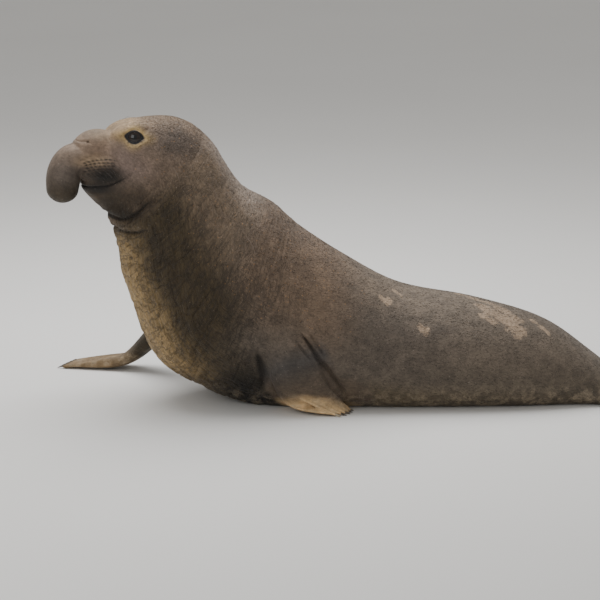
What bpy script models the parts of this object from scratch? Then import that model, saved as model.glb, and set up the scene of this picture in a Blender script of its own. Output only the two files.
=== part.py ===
"""A young bull elephant seal, life size, lying with its chest raised on its fore flippers and its head turned
a little to its left. It faces -X, its left side is towards -Y, and the ground is at z = 0.

The trunk and the head are drawn first on a straight middle plane, as a length s along the ground, a side y and a
height z, and posed() then bends that plane sideways along the animal's own curve. The fore flippers are placed on
the ground beside the bent body. At the end the whole animal is moved so that its box stands centred on the origin.
Sizes are in metres and angles in degrees.
"""

from collections import namedtuple

import bpy
import numpy as np
from mathutils import Vector
from mathutils.bvhtree import BVHTree

GAP = 0.0003  # between neighbouring parts that touch
WELL_BELOW = -0.02  # how deep a cutter of the trunk's shape reaches into the ground

# The heading of the middle plane along the length, turned from -X towards -Y.
Heading = namedtuple("Heading", "place angle")
BEND = (
    Heading(-2.00, 17.0),
    Heading(-0.95, 17.0),
    Heading(-0.70, 15.0),
    Heading(-0.30, 9.0),
    Heading(0.20, 2.0),
    Heading(0.90, -3.0),
    Heading(1.70, -5.0),
    Heading(2.60, -5.0),
)
BEND_ANCHOR = 0.30  # the place on the length that stays where it is
BEND_SAMPLES = 2301

# One cross-section of the trunk. back and belly are its top and bottom points as (s, z), widest is how far up from
# the belly its greatest width lies, as a share of its depth, and keel is the power of its lower half's outline: 2
# is an ellipse, more is squarer, less is more pointed.
Station = namedtuple("Station", "name back belly half_width widest keel")
TRUNK = (
    Station("rump", (1.665, 0.075), (1.665, 0.025), 0.050, 0.50, 2.10),
    Station("ankles", (1.590, 0.130), (1.590, -0.020), 0.160, 0.45, 2.10),
    Station("hip_end", (1.455, 0.232), (1.450, -0.035), 0.222, 0.42, 2.15),
    Station("hips", (1.253, 0.373), (1.235, -0.045), 0.285, 0.40, 2.15),
    Station("loins", (1.002, 0.467), (0.975, -0.050), 0.345, 0.39, 2.15),
    Station("belly", (0.751, 0.521), (0.700, -0.055), 0.382, 0.39, 2.15),
    Station("waist", (0.500, 0.568), (0.420, -0.055), 0.402, 0.39, 2.15),
    Station("ribs", (0.250, 0.700), (0.110, -0.055), 0.418, 0.40, 2.15),
    Station("shoulder", (0.000, 0.868), (-0.232, -0.038), 0.425, 0.42, 2.10),
    Station("breast", (-0.125, 0.984), (-0.560, 0.093), 0.415, 0.45, 2.05),
    Station("chest", (-0.208, 1.033), (-0.748, 0.254), 0.390, 0.48, 2.00),
    Station("neck_root", (-0.268, 1.067), (-0.830, 0.455), 0.360, 0.50, 2.00),
    Station("neck", (-0.325, 1.128), (-0.888, 0.620), 0.330, 0.51, 2.00),
    Station("neck_top", (-0.379, 1.214), (-0.909, 0.742), 0.303, 0.52, 2.00),
    Station("gullet", (-0.429, 1.296), (-0.930, 0.840), 0.276, 0.53, 1.95),
    Station("throat", (-0.484, 1.358), (-0.950, 0.906), 0.250, 0.55, 1.90),
    Station("nape", (-0.548, 1.406), (-0.969, 0.944), 0.225, 0.57, 1.85),
    Station("occiput", (-0.628, 1.437), (-0.989, 0.979), 0.202, 0.59, 1.80),
    Station("crown", (-0.708, 1.444), (-1.009, 1.005), 0.179, 0.60, 1.75),
    Station("brow", (-0.789, 1.441), (-1.029, 1.021), 0.157, 0.60, 1.75),
    Station("eyes", (-0.864, 1.428), (-1.051, 1.045), 0.136, 0.58, 1.80),
    Station("bridge", (-0.930, 1.396), (-1.073, 1.069), 0.119, 0.58, 1.90),
    Station("snout", (-0.985, 1.355), (-1.089, 1.090), 0.104, 0.60, 2.05),
    Station("lips", (-1.030, 1.290), (-1.099, 1.112), 0.090, 0.58, 2.10),
    Station("mouth_tip", (-1.062, 1.225), (-1.100, 1.140), 0.052, 0.50, 2.00),
)
ROUNDNESS = 2.15  # the power of every upper half's outline

# The lengths that the trunk is parted into: where each starts, as a station and a share of the way to the next,
# and how many rings it has. Every ring has the same number of points, so that the ends of neighbours match.
Length = namedtuple("Length", "node station share rings")
LENGTHS = (
    Length("hips", "rump", 0.0, 10),
    Length("abdomen", "hips", 0.40, 8),
    Length("torso", "belly", 0.40, 11),
    Length("chest", "shoulder", 0.30, 11),
    Length("neck", "neck_root", 0.30, 8),
    Length("head", "gullet", 0.20, 16),
)
TRUNK_AROUND = 36
LIMB_ROOTS = ("torso", "chest", "neck")  # the lengths that the fore flippers leave

# A round form of the head: its middle, its half-sizes along, across and up, and how it is tipped and turned. side 1
# has it mirrored to both sides, and 0 keeps one on the middle plane.
Form = namedtuple("Form", "name middle half pitch yaw side")
HEAD_FORMS = (
    Form("lip_pad", (-1.012, 0.055, 1.196), (0.118, 0.058, 0.078), -4.0, 12.0, 1),
    Form("brow", (-0.858, 0.058, 1.368), (0.120, 0.070, 0.060), 12.0, 8.0, 1),
    Form("muzzle", (-0.975, 0.045, 1.287), (0.118, 0.066, 0.072), -6.0, 10.0, 1),
    Form("chin", (-1.017, 0.0, 1.081), (0.099, 0.070, 0.048), -40.0, 0.0, 0),
)

# One point of a limb's or a lobe's middle line: where it is, the half-size across it along the side direction,
# the half-size square to both, and the side direction itself.
Knot = namedtuple("Knot", "point half_width half_depth side")
BULGE = (
    Knot((-0.925, 0, 1.300), 0.074, 0.060, (0, 1, 0)),
    Knot((-0.985, 0, 1.313), 0.096, 0.077, (0, 1, 0)),
    Knot((-1.040, 0, 1.308), 0.101, 0.083, (0, 1, 0)),
    Knot((-1.085, 0, 1.290), 0.092, 0.074, (0, 1, 0)),
)
BULGE_ENDS = (0.030, 0.045)  # how far its round ends run on past its first and last knots
LOBE = (
    Knot((-1.010, 0, 1.255), 0.094, 0.050, (0, 1, 0)),
    Knot((-1.075, 0, 1.266), 0.100, 0.060, (0, 1, 0)),
    Knot((-1.135, 0, 1.256), 0.101, 0.073, (0, 1, 0)),
    Knot((-1.177, 0, 1.210), 0.101, 0.081, (0, 1, 0)),
    Knot((-1.190, 0, 1.150), 0.098, 0.086, (0, 1, 0)),
    Knot((-1.194, 0, 1.106), 0.090, 0.082, (0, 1, 0)),
)
LOBE_ENDS = (0.020, 0.070)
NOSTRIL = Form("nostril", (-1.170, 0.036, 1.062), (0.020, 0.009, 0.014), -28.0, -8.0, 1)

EYE = (-0.845, 0.086, 1.357)  # the middle of the right eyeball
EYE_RADIUS = 0.048
EYE_OPENING = (0.041, 0.030)  # half its width and half its height
EYE_OUTWARD = (-0.36, 1.0, 0.18)  # the way the right eye looks
EYE_SLANT = -0.16  # how much its opening drops towards the rear corner, for each metre along
EYE_CUT = (0.010, 0.120)  # where the opening's cutter starts and ends, from the eyeball's middle
LID_HALF = (0.052, 0.0515, 0.051)

# The line of the mouth and the crease behind the jaw, as (s, z) seen from the side.
MOUTH_LINE = ((-1.220, 1.150), (-1.105, 1.139), (-1.004, 1.125), (-0.913, 1.143), (-0.863, 1.166))
JAW_CREASE = ((-0.818, 1.130), (-0.790, 1.050), (-0.835, 0.975), (-0.916, 0.950), (-1.011, 0.985), (-1.220, 1.000))
LIP_GROOVE = 0.0045  # radius of the groove along the mouth
LIP_GROOVE_ENDS = (0.118, 0.004)  # how far from the mouth line's two ends the groove stops
BEYOND_HEAD = 0.40  # further to each side than any part of the head

LEFT_ARM = (
    Knot((-0.085, -0.300, 0.480), 0.140, 0.090, (1, 0, 0)),
    Knot((-0.066, -0.385, 0.350), 0.138, 0.072, (1, 0, 0)),
    Knot((-0.032, -0.425, 0.250), 0.136, 0.056, (1, 0, 0)),
    Knot((-0.002, -0.420, 0.165), 0.136, 0.046, (1, -0.02, 0.04)),
    Knot((0.030, -0.395, 0.100), 0.139, 0.036, (1, -0.06, 0.10)),
    Knot((0.078, -0.376, 0.052), 0.136, 0.027, (0.98, 0.06, 0.14)),
    Knot((0.140, -0.386, 0.026), 0.108, 0.019, (0.82, 0.57, 0.04)),
    Knot((0.195, -0.402, 0.014), 0.077, 0.013, (0.60, 0.80, 0)),
)
RIGHT_ARM = (
    Knot((-0.520, 0.300, 0.420), 0.110, 0.080, (0.5, 0.8, 0.2)),
    Knot((-0.640, 0.420, 0.300), 0.110, 0.062, (0.5, 0.8, 0.2)),
    Knot((-0.755, 0.480, 0.185), 0.100, 0.050, (0.45, 0.85, 0.1)),
    Knot((-0.840, 0.510, 0.095), 0.090, 0.042, (0.3, 0.95, 0)),
    Knot((-0.915, 0.525, 0.045), 0.085, 0.032, (0.28, 0.96, 0)),
    Knot((-1.035, 0.550, 0.024), 0.088, 0.024, (0.24, 0.97, 0)),
    Knot((-1.178, 0.574, 0.013), 0.078, 0.013, (0.20, 0.98, 0)),
)
# The right one, on the straight middle plane; the left one mirrors it.
HIND_FLIPPER = (
    Knot((1.460, 0.100, 0.092), 0.085, 0.058, (0, 1, 0)),
    Knot((1.600, 0.108, 0.066), 0.080, 0.046, (0, 1, 0.05)),
    Knot((1.710, 0.128, 0.046), 0.084, 0.032, (0.05, 1, 0.05)),
    Knot((1.850, 0.165, 0.028), 0.116, 0.018, (0.12, 1, 0.03)),
    Knot((2.000, 0.205, 0.014), 0.148, 0.010, (0.18, 1, 0)),
)
TAIL = (
    Knot((1.600, 0, 0.064), 0.024, 0.026, (0, 1, 0)),
    Knot((1.670, 0, 0.054), 0.024, 0.022, (0, 1, 0)),
    Knot((1.745, 0, 0.038), 0.018, 0.014, (0, 1, 0)),
)

# The five toes of a flipper. reach is how far past the palm's end each one's tip lies, the outer ones first to
# last. fan is how far across the palm's half-width the outer toes lie, and depth is a toe's half-thickness.
Toes = namedtuple("Toes", "reach width_root width_tip depth_root depth_tip fan root_share claw_length claw_radius")
LEFT_TOES = Toes((0.012, 0.020, 0.020, 0.014, 0.004), 0.021, 0.018, 0.020, 0.012, 0.82, 0.66, 0.032, 0.0065)
RIGHT_TOES = Toes((0.030, 0.024, 0.016, 0.006, -0.006), 0.021, 0.018, 0.020, 0.012, 0.82, 0.66, 0.032, 0.0065)
HIND_TOES = Toes((0.062, 0.024, 0.004, 0.020, 0.054), 0.024, 0.031, 0.021, 0.011, 0.79, 0.42, 0.016, 0.0045)
WRIST_SHARE = 0.60  # where along an arm's middle line its hand starts
TOE_AROUND = 8
TOE_ROOT_SPREAD = 0.80  # how far apart the toes start, as a share of how far apart they end
TOE_ARCH = 0.003  # how much a toe rises between its root and its tip
TOE_TIP_LIFT = 0.75  # the least height of a toe's tip, for its half-thickness
TOE_CAP = 0.80  # how far its round end runs on, for its half-width
CLAW_LIFT = 0.45  # how far above the toe's middle its claw starts, for the toe's half-thickness
CLAW_SHAPE = ((0.0, 1.0), (0.55, 0.85), (1.0, 0.35))  # the claw's radius along its length, both as shares

HIDE = (0.105, 0.085, 0.066, 1.0)
SHIELD = (0.150, 0.108, 0.064, 1.0)
MASK = (0.135, 0.108, 0.080, 1.0)
PALM = (0.190, 0.140, 0.090, 1.0)
EYEBALL = (0.006, 0.006, 0.008, 1.0)
COLOURS = {
    "eye": EYEBALL,
    "chest": SHIELD,
    "neck": SHIELD,
    "head": MASK,
    "proboscis": MASK,
    "lower_jaw": MASK,
    "fore_hand": PALM,
    "hind_flipper": PALM,
}
EYE_ROUGHNESS = 0.12
COAT_ROUGHNESS = 0.62
SHARP_ANGLE = 50.0


def spline(places, values, at):
    """A natural cubic spline through values at places, read at other places: its curvature is continuous, and is
    zero at both ends."""
    places = np.asarray(places, float)
    values = np.asarray(values, float).reshape(len(places), -1)
    at = np.atleast_1d(np.asarray(at, float))
    step = np.diff(places)
    slope = np.diff(values, axis=0) / step[:, None]
    system = np.eye(len(places))
    wanted = np.zeros_like(values)
    for i in range(1, len(places) - 1):
        system[i, i - 1 : i + 2] = step[i - 1], 2 * (step[i - 1] + step[i]), step[i]
        wanted[i] = 6 * (slope[i] - slope[i - 1])
    curve = np.linalg.solve(system, wanted)
    i = np.clip(np.searchsorted(places, at, side="right") - 1, 0, len(places) - 2)
    h = step[i][:, None]
    left = (places[i + 1] - at)[:, None]
    right = (at - places[i])[:, None]
    cubic = (curve[i] * left**3 + curve[i + 1] * right**3) / (6 * h)
    start = (values[i] / h - curve[i] * h / 6) * left
    end = (values[i + 1] / h - curve[i + 1] * h / 6) * right
    return cubic + start + end


def distances(path):
    """How far along a path each of its points lies."""
    steps = np.linalg.norm(np.diff(np.asarray(path, float), axis=0), axis=1)
    return np.concatenate([[0], np.cumsum(steps)])


def posed(points):
    """Bends the straight middle plane along the animal's sideways curve: a point keeps its height and its distance
    from the plane."""
    points = np.asarray(points, float)
    s = np.linspace(BEND[0].place, BEND[-1].place, BEND_SAMPLES)
    heading = np.radians(spline([b.place for b in BEND], [b.angle for b in BEND], s)[:, 0])
    x = np.cumsum(np.cos(heading)) * (s[1] - s[0])
    y = np.cumsum(np.sin(heading)) * (s[1] - s[0])
    x += BEND_ANCHOR - np.interp(BEND_ANCHOR, s, x)
    y -= np.interp(BEND_ANCHOR, s, y)
    along, side, up = points[..., 0], points[..., 1], points[..., 2]
    turn = np.interp(along, s, heading)
    return np.stack(
        [
            np.interp(along, s, x) - side * np.sin(turn),
            np.interp(along, s, y) + side * np.cos(turn),
            up,
        ],
        axis=-1,
    )


BACKS = np.array([station.back for station in TRUNK])
BELLIES = np.array([station.belly for station in TRUNK])
STATION_PLACES = distances((BACKS + BELLIES) / 2)


def place_of(name, share=0.0):
    """The place along the trunk of a station, or of a share of the way from it to the next one."""
    i = [station.name for station in TRUNK].index(name)
    if share == 0:
        return STATION_PLACES[i]
    return STATION_PLACES[i] + share * (STATION_PLACES[i + 1] - STATION_PLACES[i])


def trunk_rings(at, grow=0.0, shift=0.0, floor=0.0):
    """Cross-sections of the trunk at places along it. Each is two half outlines that meet at its greatest width,
    made larger all round by grow, moved along its own normal by shift, and kept above floor."""
    back = spline(STATION_PLACES, BACKS, at)
    belly = spline(STATION_PLACES, BELLIES, at)
    half_width = spline(STATION_PLACES, [station.half_width for station in TRUNK], at)[:, 0] + grow
    widest, keel = spline(STATION_PLACES, [(station.widest, station.keel) for station in TRUNK], at).T[..., None]
    upward = (back - belly) / np.linalg.norm(back - belly, axis=1)[:, None]
    back, belly = back + upward * grow, belly - upward * grow
    angle = np.arange(TRUNK_AROUND) * 2 * np.pi / TRUNK_AROUND
    power = np.where(np.cos(angle) > 0, ROUNDNESS, keel)
    rise = np.sign(np.cos(angle)) * np.abs(np.cos(angle)) ** (2 / power)
    spread = np.sign(np.sin(angle)) * np.abs(np.sin(angle)) ** (2 / power)
    level = widest + np.where(rise > 0, 1 - widest, widest) * rise
    rings = np.zeros((len(back), TRUNK_AROUND, 3))
    rings[..., 0] = belly[:, :1] + (back - belly)[:, :1] * level
    rings[..., 1] = half_width[:, None] * spread
    rings[..., 2] = belly[:, 1:] + (back - belly)[:, 1:] * level
    rings[..., 0] -= (upward[:, 1] * shift)[:, None]
    rings[..., 2] += (upward[:, 0] * shift)[:, None]
    rings[..., 2] = np.maximum(rings[..., 2], floor)
    return rings


def tube_rings(knots, rings, around, start=0.0, end=1.0, grow=0.0):
    """Rings round a smooth middle line through knots, from one share of its length to another."""
    centre, half, along, side = frames(knots, np.linspace(start, end, rings))
    over = np.cross(along, side)
    over /= np.linalg.norm(over, axis=1)[:, None]
    angle = np.arange(around) * 2 * np.pi / around
    across = side[:, None] * ((half[:, :1] + grow) * np.cos(angle))[..., None]
    return centre[:, None] + across + over[:, None] * ((half[:, 1:] + grow) * np.sin(angle))[..., None]


def frames(knots, shares):
    """The middle, the two half-sizes, the direction and the side direction of a line of knots at shares of it."""
    path = np.array([knot.point for knot in knots], float)
    places = distances(path)
    at = np.asarray(shares) * places[-1]
    small = places[-1] * 1e-3
    along = spline(places, path, at + small) - spline(places, path, at - small)
    along /= np.linalg.norm(along, axis=1)[:, None]
    side = spline(places, [knot.side for knot in knots], at)
    side /= np.linalg.norm(side, axis=1)[:, None]
    half = spline(places, [(knot.half_width, knot.half_depth) for knot in knots], at)
    return spline(places, path, at), half, along, side


def rounded(rings, reach_start=0.0, reach_end=0.0, steps=3):
    """Adds a round cap to each end of the rings that is given a reach, and returns them with their two tips."""
    tips = [rings[0].mean(axis=0), rings[-1].mean(axis=0)]
    inner = [rings[1].mean(axis=0), rings[-2].mean(axis=0)]
    turns = np.arange(1, steps + 1) * np.pi / 2 / (steps + 1)
    blocks = [rings]
    for end, reach in ((0, reach_start), (-1, reach_end)):
        if not reach:
            continue
        outward = (tips[end] - inner[end]) / np.linalg.norm(tips[end] - inner[end])
        arch = [tips[end] + (rings[end] - tips[end]) * np.cos(t) + outward * reach * np.sin(t) for t in turns]
        blocks = [np.array(arch[::-1])] + blocks if end == 0 else blocks + [np.array(arch)]
        tips[end] = tips[end] + outward * reach
    return np.concatenate(blocks), tips


def egg_rings(form, rings=9, around=14, grow=0.0):
    """An ellipsoid, with its first half-size along its own length, tipped up at its rear by pitch, turned by yaw."""
    theta = np.linspace(0, np.pi, rings + 2)
    phi = np.arange(around) * 2 * np.pi / around
    unit = np.zeros((rings + 2, around, 3))
    unit[..., 0] = -np.cos(theta)[:, None]
    unit[..., 1] = np.sin(theta)[:, None] * np.cos(phi)
    unit[..., 2] = np.sin(theta)[:, None] * np.sin(phi)
    a, b = np.radians(form.pitch), np.radians(form.yaw)
    tip = np.array([[np.cos(a), 0, -np.sin(a)], [0, 1, 0], [np.sin(a), 0, np.cos(a)]])
    turn = np.array([[np.cos(b), -np.sin(b), 0], [np.sin(b), np.cos(b), 0], [0, 0, 1]])
    points = unit * (np.asarray(form.half) + grow) @ (turn @ tip).T + np.asarray(form.middle)
    return points[1:-1], [points[0, 0], points[-1, 0]]


def solid(name, rings, tips=None):
    """A closed mesh object from rings of points, split into triangles the same way everywhere. Each end is closed
    by a fan about its middle or about a given tip."""
    count, around = rings.shape[:2]
    ends = [rings[0].mean(axis=0), rings[-1].mean(axis=0)] if tips is None else list(tips)
    points = np.concatenate([rings.reshape(-1, 3), ends])
    row = np.arange(around)
    after = (row + 1) % around
    faces = []
    for start in np.arange(count - 1) * around:
        faces.append(np.stack([start + row, start + after, start + around + after], axis=1))
        faces.append(np.stack([start + row, start + around + after, start + around + row], axis=1))
    last = (count - 1) * around
    faces.append(np.stack([np.full(around, count * around), after, row], axis=1))
    faces.append(np.stack([np.full(around, count * around + 1), last + row, last + after], axis=1))
    faces = np.concatenate(faces)
    if np.linalg.det(points[faces]).sum() < 0:
        faces = faces[:, ::-1]
    mesh = bpy.data.meshes.new(name)
    mesh.from_pydata(points.tolist(), [], faces.tolist())
    made = bpy.data.objects.new(name, mesh)
    bpy.context.scene.collection.objects.link(made)
    return made


def prism(name, outline, half_width):
    """A closed block from an outline in (s, z), reaching half_width to each side."""
    outline = np.asarray(outline, float)
    sides = [
        np.column_stack([outline[:, 0], np.full(len(outline), y), outline[:, 1]])
        for y in (-half_width, half_width)
    ]
    return solid(name, np.array(sides))


def boolean(target, pieces, operation):
    """Joins pieces to target, cuts them from it, or keeps what they share, by one applied Boolean. The pieces are
    removed, and so is every surface of the result but the largest."""
    group = bpy.data.collections.new("pieces")
    bpy.context.scene.collection.children.link(group)
    for piece in pieces:
        group.objects.link(piece)
    modifier = target.modifiers.new("boolean", "BOOLEAN")
    modifier.operation = operation
    modifier.solver = "EXACT"
    if len(pieces) == 1:
        modifier.object = pieces[0]
    else:
        modifier.operand_type = "COLLECTION"
        modifier.collection = group
    graph = bpy.context.evaluated_depsgraph_get()
    mesh = bpy.data.meshes.new_from_object(target.evaluated_get(graph))
    target.modifiers.clear()
    target.data = mesh
    for piece in pieces:
        bpy.data.objects.remove(piece)
    bpy.data.collections.remove(group)
    keep_largest(target)
    return target


def arrays(mesh):
    """A mesh's points and its triangles as arrays."""
    mesh.calc_loop_triangles()
    points = np.empty(len(mesh.vertices) * 3, np.float32)
    mesh.vertices.foreach_get("co", points)
    faces = np.empty(len(mesh.loop_triangles) * 3, np.int32)
    mesh.loop_triangles.foreach_get("vertices", faces)
    return points.reshape(-1, 3).astype(float), faces.reshape(-1, 3)


def keep_largest(made):
    """Keeps only the closed surface with the largest volume."""
    points, faces = arrays(made.data)
    group = np.arange(len(points))
    while True:
        lowest = group[faces].min(axis=1)
        before = group.copy()
        for corner in range(3):
            np.minimum.at(group, faces[:, corner], lowest)
        group = group[group]
        if (group == before).all():
            break
    labels = group[faces[:, 0]]
    volumes = {label: abs(np.linalg.det(points[faces[labels == label]]).sum()) for label in np.unique(labels)}
    largest = max(volumes, key=volumes.get)
    kept = faces[labels == largest]
    used, kept = np.unique(kept, return_inverse=True)
    mesh = bpy.data.meshes.new(made.name)
    mesh.from_pydata(points[used].tolist(), [], kept.reshape(-1, 3).tolist())
    made.data = mesh


def reshape(made, mapping):
    """Moves every point of an object by a mapping of an array of points."""
    points, _ = arrays(made.data)
    made.data.vertices.foreach_set("co", mapping(points).astype(np.float32).ravel())
    made.data.update()


def mirrored(form):
    """The same form on the other side of the middle plane."""
    s, y, z = form.middle
    return form._replace(middle=(s, -y, z), yaw=-form.yaw)


def both_sides(form):
    """A form, and its mirror where it has one."""
    return (form, mirrored(form)) if form.side else (form,)


def trunk_piece(length, following):
    """The rings of one length of the trunk, from its own start to the start of the next one, and the middles of
    its two ends, on the straight middle plane."""
    start = place_of(length.station, length.share)
    end = STATION_PLACES[-1] if following is None else place_of(following.station, following.share)
    shift = np.zeros(length.rings)
    shift[0] = 0 if length is LENGTHS[0] else GAP / 2
    shift[-1] = 0 if following is None else -GAP / 2
    rings = trunk_rings(np.linspace(start, end, length.rings), shift=shift)
    return rings, np.array([rings[0].mean(axis=0), rings[-1].mean(axis=0)])


def trunk_cutter():
    """The trunk where the fore flippers leave it, larger by the gap, on the same rings as the trunk's own."""
    pieces = []
    for length, following in zip(LENGTHS, LENGTHS[1:]):
        if length.node not in LIMB_ROOTS:
            continue
        start, end = place_of(length.station, length.share), place_of(following.station, following.share)
        at = np.linspace(start, end, length.rings)
        pieces.append(solid("cutter", posed(trunk_rings(at, grow=GAP, floor=WELL_BELOW))))
    return pieces


def proboscis_pieces(grow=0.0):
    """The bulge over the nose and the lobe that hangs in front of the mouth."""
    pieces = []
    for name, knots, ends, rings in (("bulge", BULGE, BULGE_ENDS, 6), ("lobe", LOBE, LOBE_ENDS, 8)):
        line = tube_rings(knots, rings, 20, grow=grow)
        pieces.append(solid(name, *rounded(line, ends[0] + grow, ends[1] + grow, 4)))
    return pieces


def eye_axes(side):
    """The way an eye looks, and the directions along and up its opening."""
    outward = np.array(EYE_OUTWARD) * (1, side, 1)
    outward /= np.linalg.norm(outward)
    along = np.array([1.0, 0, EYE_SLANT])
    along -= outward * (along @ outward)
    along /= np.linalg.norm(along)
    return outward, along, np.cross(outward, along)


def eye_form(side, half):
    """An ellipsoid about an eyeball's middle."""
    s, y, z = EYE
    return Form("eye", (s, side * y, z), half, 0.0, 0.0, 0)


def eye_opening(side):
    """A cutter as wide and high as the opening between the lids, from the eyeball's middle outwards."""
    outward, along, up = eye_axes(side)
    middle = np.array(eye_form(side, 0).middle)
    angle = np.arange(16) * 2 * np.pi / 16
    outline = along * (EYE_OPENING[0] * np.cos(angle))[:, None] + up * (EYE_OPENING[1] * np.sin(angle))[:, None]
    return solid("opening", np.array([middle + outward * reach + outline for reach in EYE_CUT]))


def mouth_cutter(distance):
    """The block below the mouth line and before the jaw's crease, made smaller all round by a distance."""
    mouth = spline(distances(MOUTH_LINE), MOUTH_LINE, np.linspace(0, distances(MOUTH_LINE)[-1], 12))
    crease = spline(distances(JAW_CREASE), JAW_CREASE, np.linspace(0, distances(JAW_CREASE)[-1], 16))
    outline = np.concatenate([mouth, crease])
    before, after = np.roll(outline, 1, axis=0), np.roll(outline, -1, axis=0)
    edge_in = (outline - before) / np.linalg.norm(outline - before, axis=1)[:, None]
    edge_out = (after - outline) / np.linalg.norm(after - outline, axis=1)[:, None]
    normal = edge_in + edge_out
    normal = np.column_stack([normal[:, 1], -normal[:, 0]]) / np.linalg.norm(normal, axis=1)[:, None]
    share = np.sqrt((1 + (edge_in * edge_out).sum(axis=1)) / 2)
    return prism("mouth", outline + normal * (distance / share)[:, None], BEYOND_HEAD)


def lip_grooves(head):
    """Two thin tubes that lie in the head's surface along the mouth line, one on each side."""
    points, faces = arrays(head.data)
    surface = BVHTree.FromPolygons(points.tolist(), faces.tolist())
    places = distances(MOUTH_LINE)
    line = spline(places, MOUTH_LINE, np.linspace(LIP_GROOVE_ENDS[0], places[-1] - LIP_GROOVE_ENDS[1], 10))
    grooves = []
    for side in (-1, 1):
        knots = []
        for s, z in line:
            hit = surface.ray_cast(Vector((s, side * BEYOND_HEAD, z)), Vector((0, -side, 0)))[0]
            if hit is not None:
                knots.append(Knot(tuple(hit), LIP_GROOVE, LIP_GROOVE, (0, 0, 1)))
        grooves.append(solid("groove", tube_rings(knots, 12, 5)))
    return grooves


def head_parts():
    """The head, its proboscis, its lower jaw and its eyes, on the straight middle plane."""
    head = solid("head", *rounded(trunk_piece(LENGTHS[-1], None)[0], 0.0, 0.020, 2))
    forms = [form for plain in HEAD_FORMS for form in both_sides(plain)]
    pieces = [solid(form.name, *egg_rings(form)) for form in forms]
    for side in (-1, 1):
        pieces.append(solid("lids", *egg_rings(eye_form(side, LID_HALF), 10, 16)))
    boolean(head, pieces, "UNION")

    proboscis, lobe = proboscis_pieces()
    boolean(proboscis, [lobe], "UNION")
    proboscis.name = "proboscis"
    nostrils = [solid("nostril", *egg_rings(form, 4, 8)) for form in both_sides(NOSTRIL)]
    boolean(proboscis, nostrils, "DIFFERENCE")
    boolean(head, proboscis_pieces(GAP), "DIFFERENCE")

    sockets = []
    for side in (-1, 1):
        sockets.append(solid("socket", *egg_rings(eye_form(side, (EYE_RADIUS + GAP,) * 3), 9, 16)))
        sockets.append(eye_opening(side))
    boolean(head, sockets, "DIFFERENCE")
    boolean(head, lip_grooves(head), "DIFFERENCE")

    jaw = head.copy()
    jaw.data = head.data.copy()
    jaw.name = "lower_jaw"
    bpy.context.scene.collection.objects.link(jaw)
    boolean(jaw, [mouth_cutter(GAP / 2)], "INTERSECT")
    boolean(head, [mouth_cutter(-GAP / 2)], "DIFFERENCE")
    eyes = [
        solid(name, *egg_rings(eye_form(side, (EYE_RADIUS,) * 3), 9, 16))
        for name, side in (("eye_left", -1), ("eye_right", 1))
    ]
    return head, proboscis, jaw, *eyes


def toe_pieces(knots, toes, mapping):
    """Five toes that fan out from the palm and run on past its end, each with its claw."""
    middles, halves, alongs, sides = frames(knots, (toes.root_share, 1.0))
    pieces = []
    for i, reach in enumerate(toes.reach):
        across = (i / 2 - 1) * toes.fan
        root = middles[0] + sides[0] * halves[0, 0] * across * TOE_ROOT_SPREAD
        tip = middles[1] + sides[1] * halves[1, 0] * across + alongs[1] * reach
        tip[2] = max(tip[2], toes.depth_tip * TOE_TIP_LIFT)
        middle = (root + tip) / 2 + (0, 0, TOE_ARCH)
        widths = np.linspace(toes.width_root, toes.width_tip, 3)
        depths = np.linspace(toes.depth_root, toes.depth_tip, 3)
        line = [Knot(p, w, d, sides[0]) for p, w, d in zip((root, middle, tip), widths, depths)]
        rings = tube_rings(line, 3, TOE_AROUND)
        pieces.append(solid("toe", *map(mapping, rounded(rings, 0.0, toes.width_tip * TOE_CAP, 3))))
        way = (tip - middle) / np.linalg.norm(tip - middle)
        base = tip + (0, 0, toes.depth_tip * CLAW_LIFT)
        claw = []
        for share, thickness in CLAW_SHAPE:
            point = base + way * toes.claw_length * share - (0, 0, toes.claw_radius * share**2)
            claw.append(Knot(point, toes.claw_radius * thickness, toes.claw_radius * thickness, sides[1]))
        pieces.append(solid("claw", mapping(tube_rings(claw, 3, 5))))
    return pieces


def ground_block():
    """The ground, as a cutter."""
    return prism("ground", ((-3, -1), (3, -1), (3, 0), (-3, 0)), 3)


def flipper(name, knots, toes, start, rings, mapping=np.asarray):
    """A flat limb from a share of its middle line on to its palm, toes and claws, with a flat underside where it
    meets the ground."""
    shape, tips = rounded(tube_rings(knots, rings, 14, start, 1.0), 0.0, knots[-1].half_depth, 2)
    limb = solid(name, mapping(shape), mapping(np.array(tips)))
    boolean(limb, toe_pieces(knots, toes, lambda points: mapping(np.array(points))), "UNION")
    boolean(limb, [ground_block()], "DIFFERENCE")
    return limb


def fore_limb(side, knots, toes):
    """An arm that leaves the trunk, and the hand that it ends in, parted at the wrist."""
    path_length = distances([knot.point for knot in knots])[-1]
    wrist = WRIST_SHARE - GAP / 2 / path_length
    arm = solid(f"fore_arm_{side}", tube_rings(knots, 10, 14, 0.0, wrist))
    boolean(arm, trunk_cutter(), "DIFFERENCE")
    hand = flipper(f"fore_hand_{side}", knots, toes, WRIST_SHARE + GAP / 2 / path_length, 8)
    boolean(hand, trunk_cutter(), "DIFFERENCE")
    return arm, hand


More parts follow.
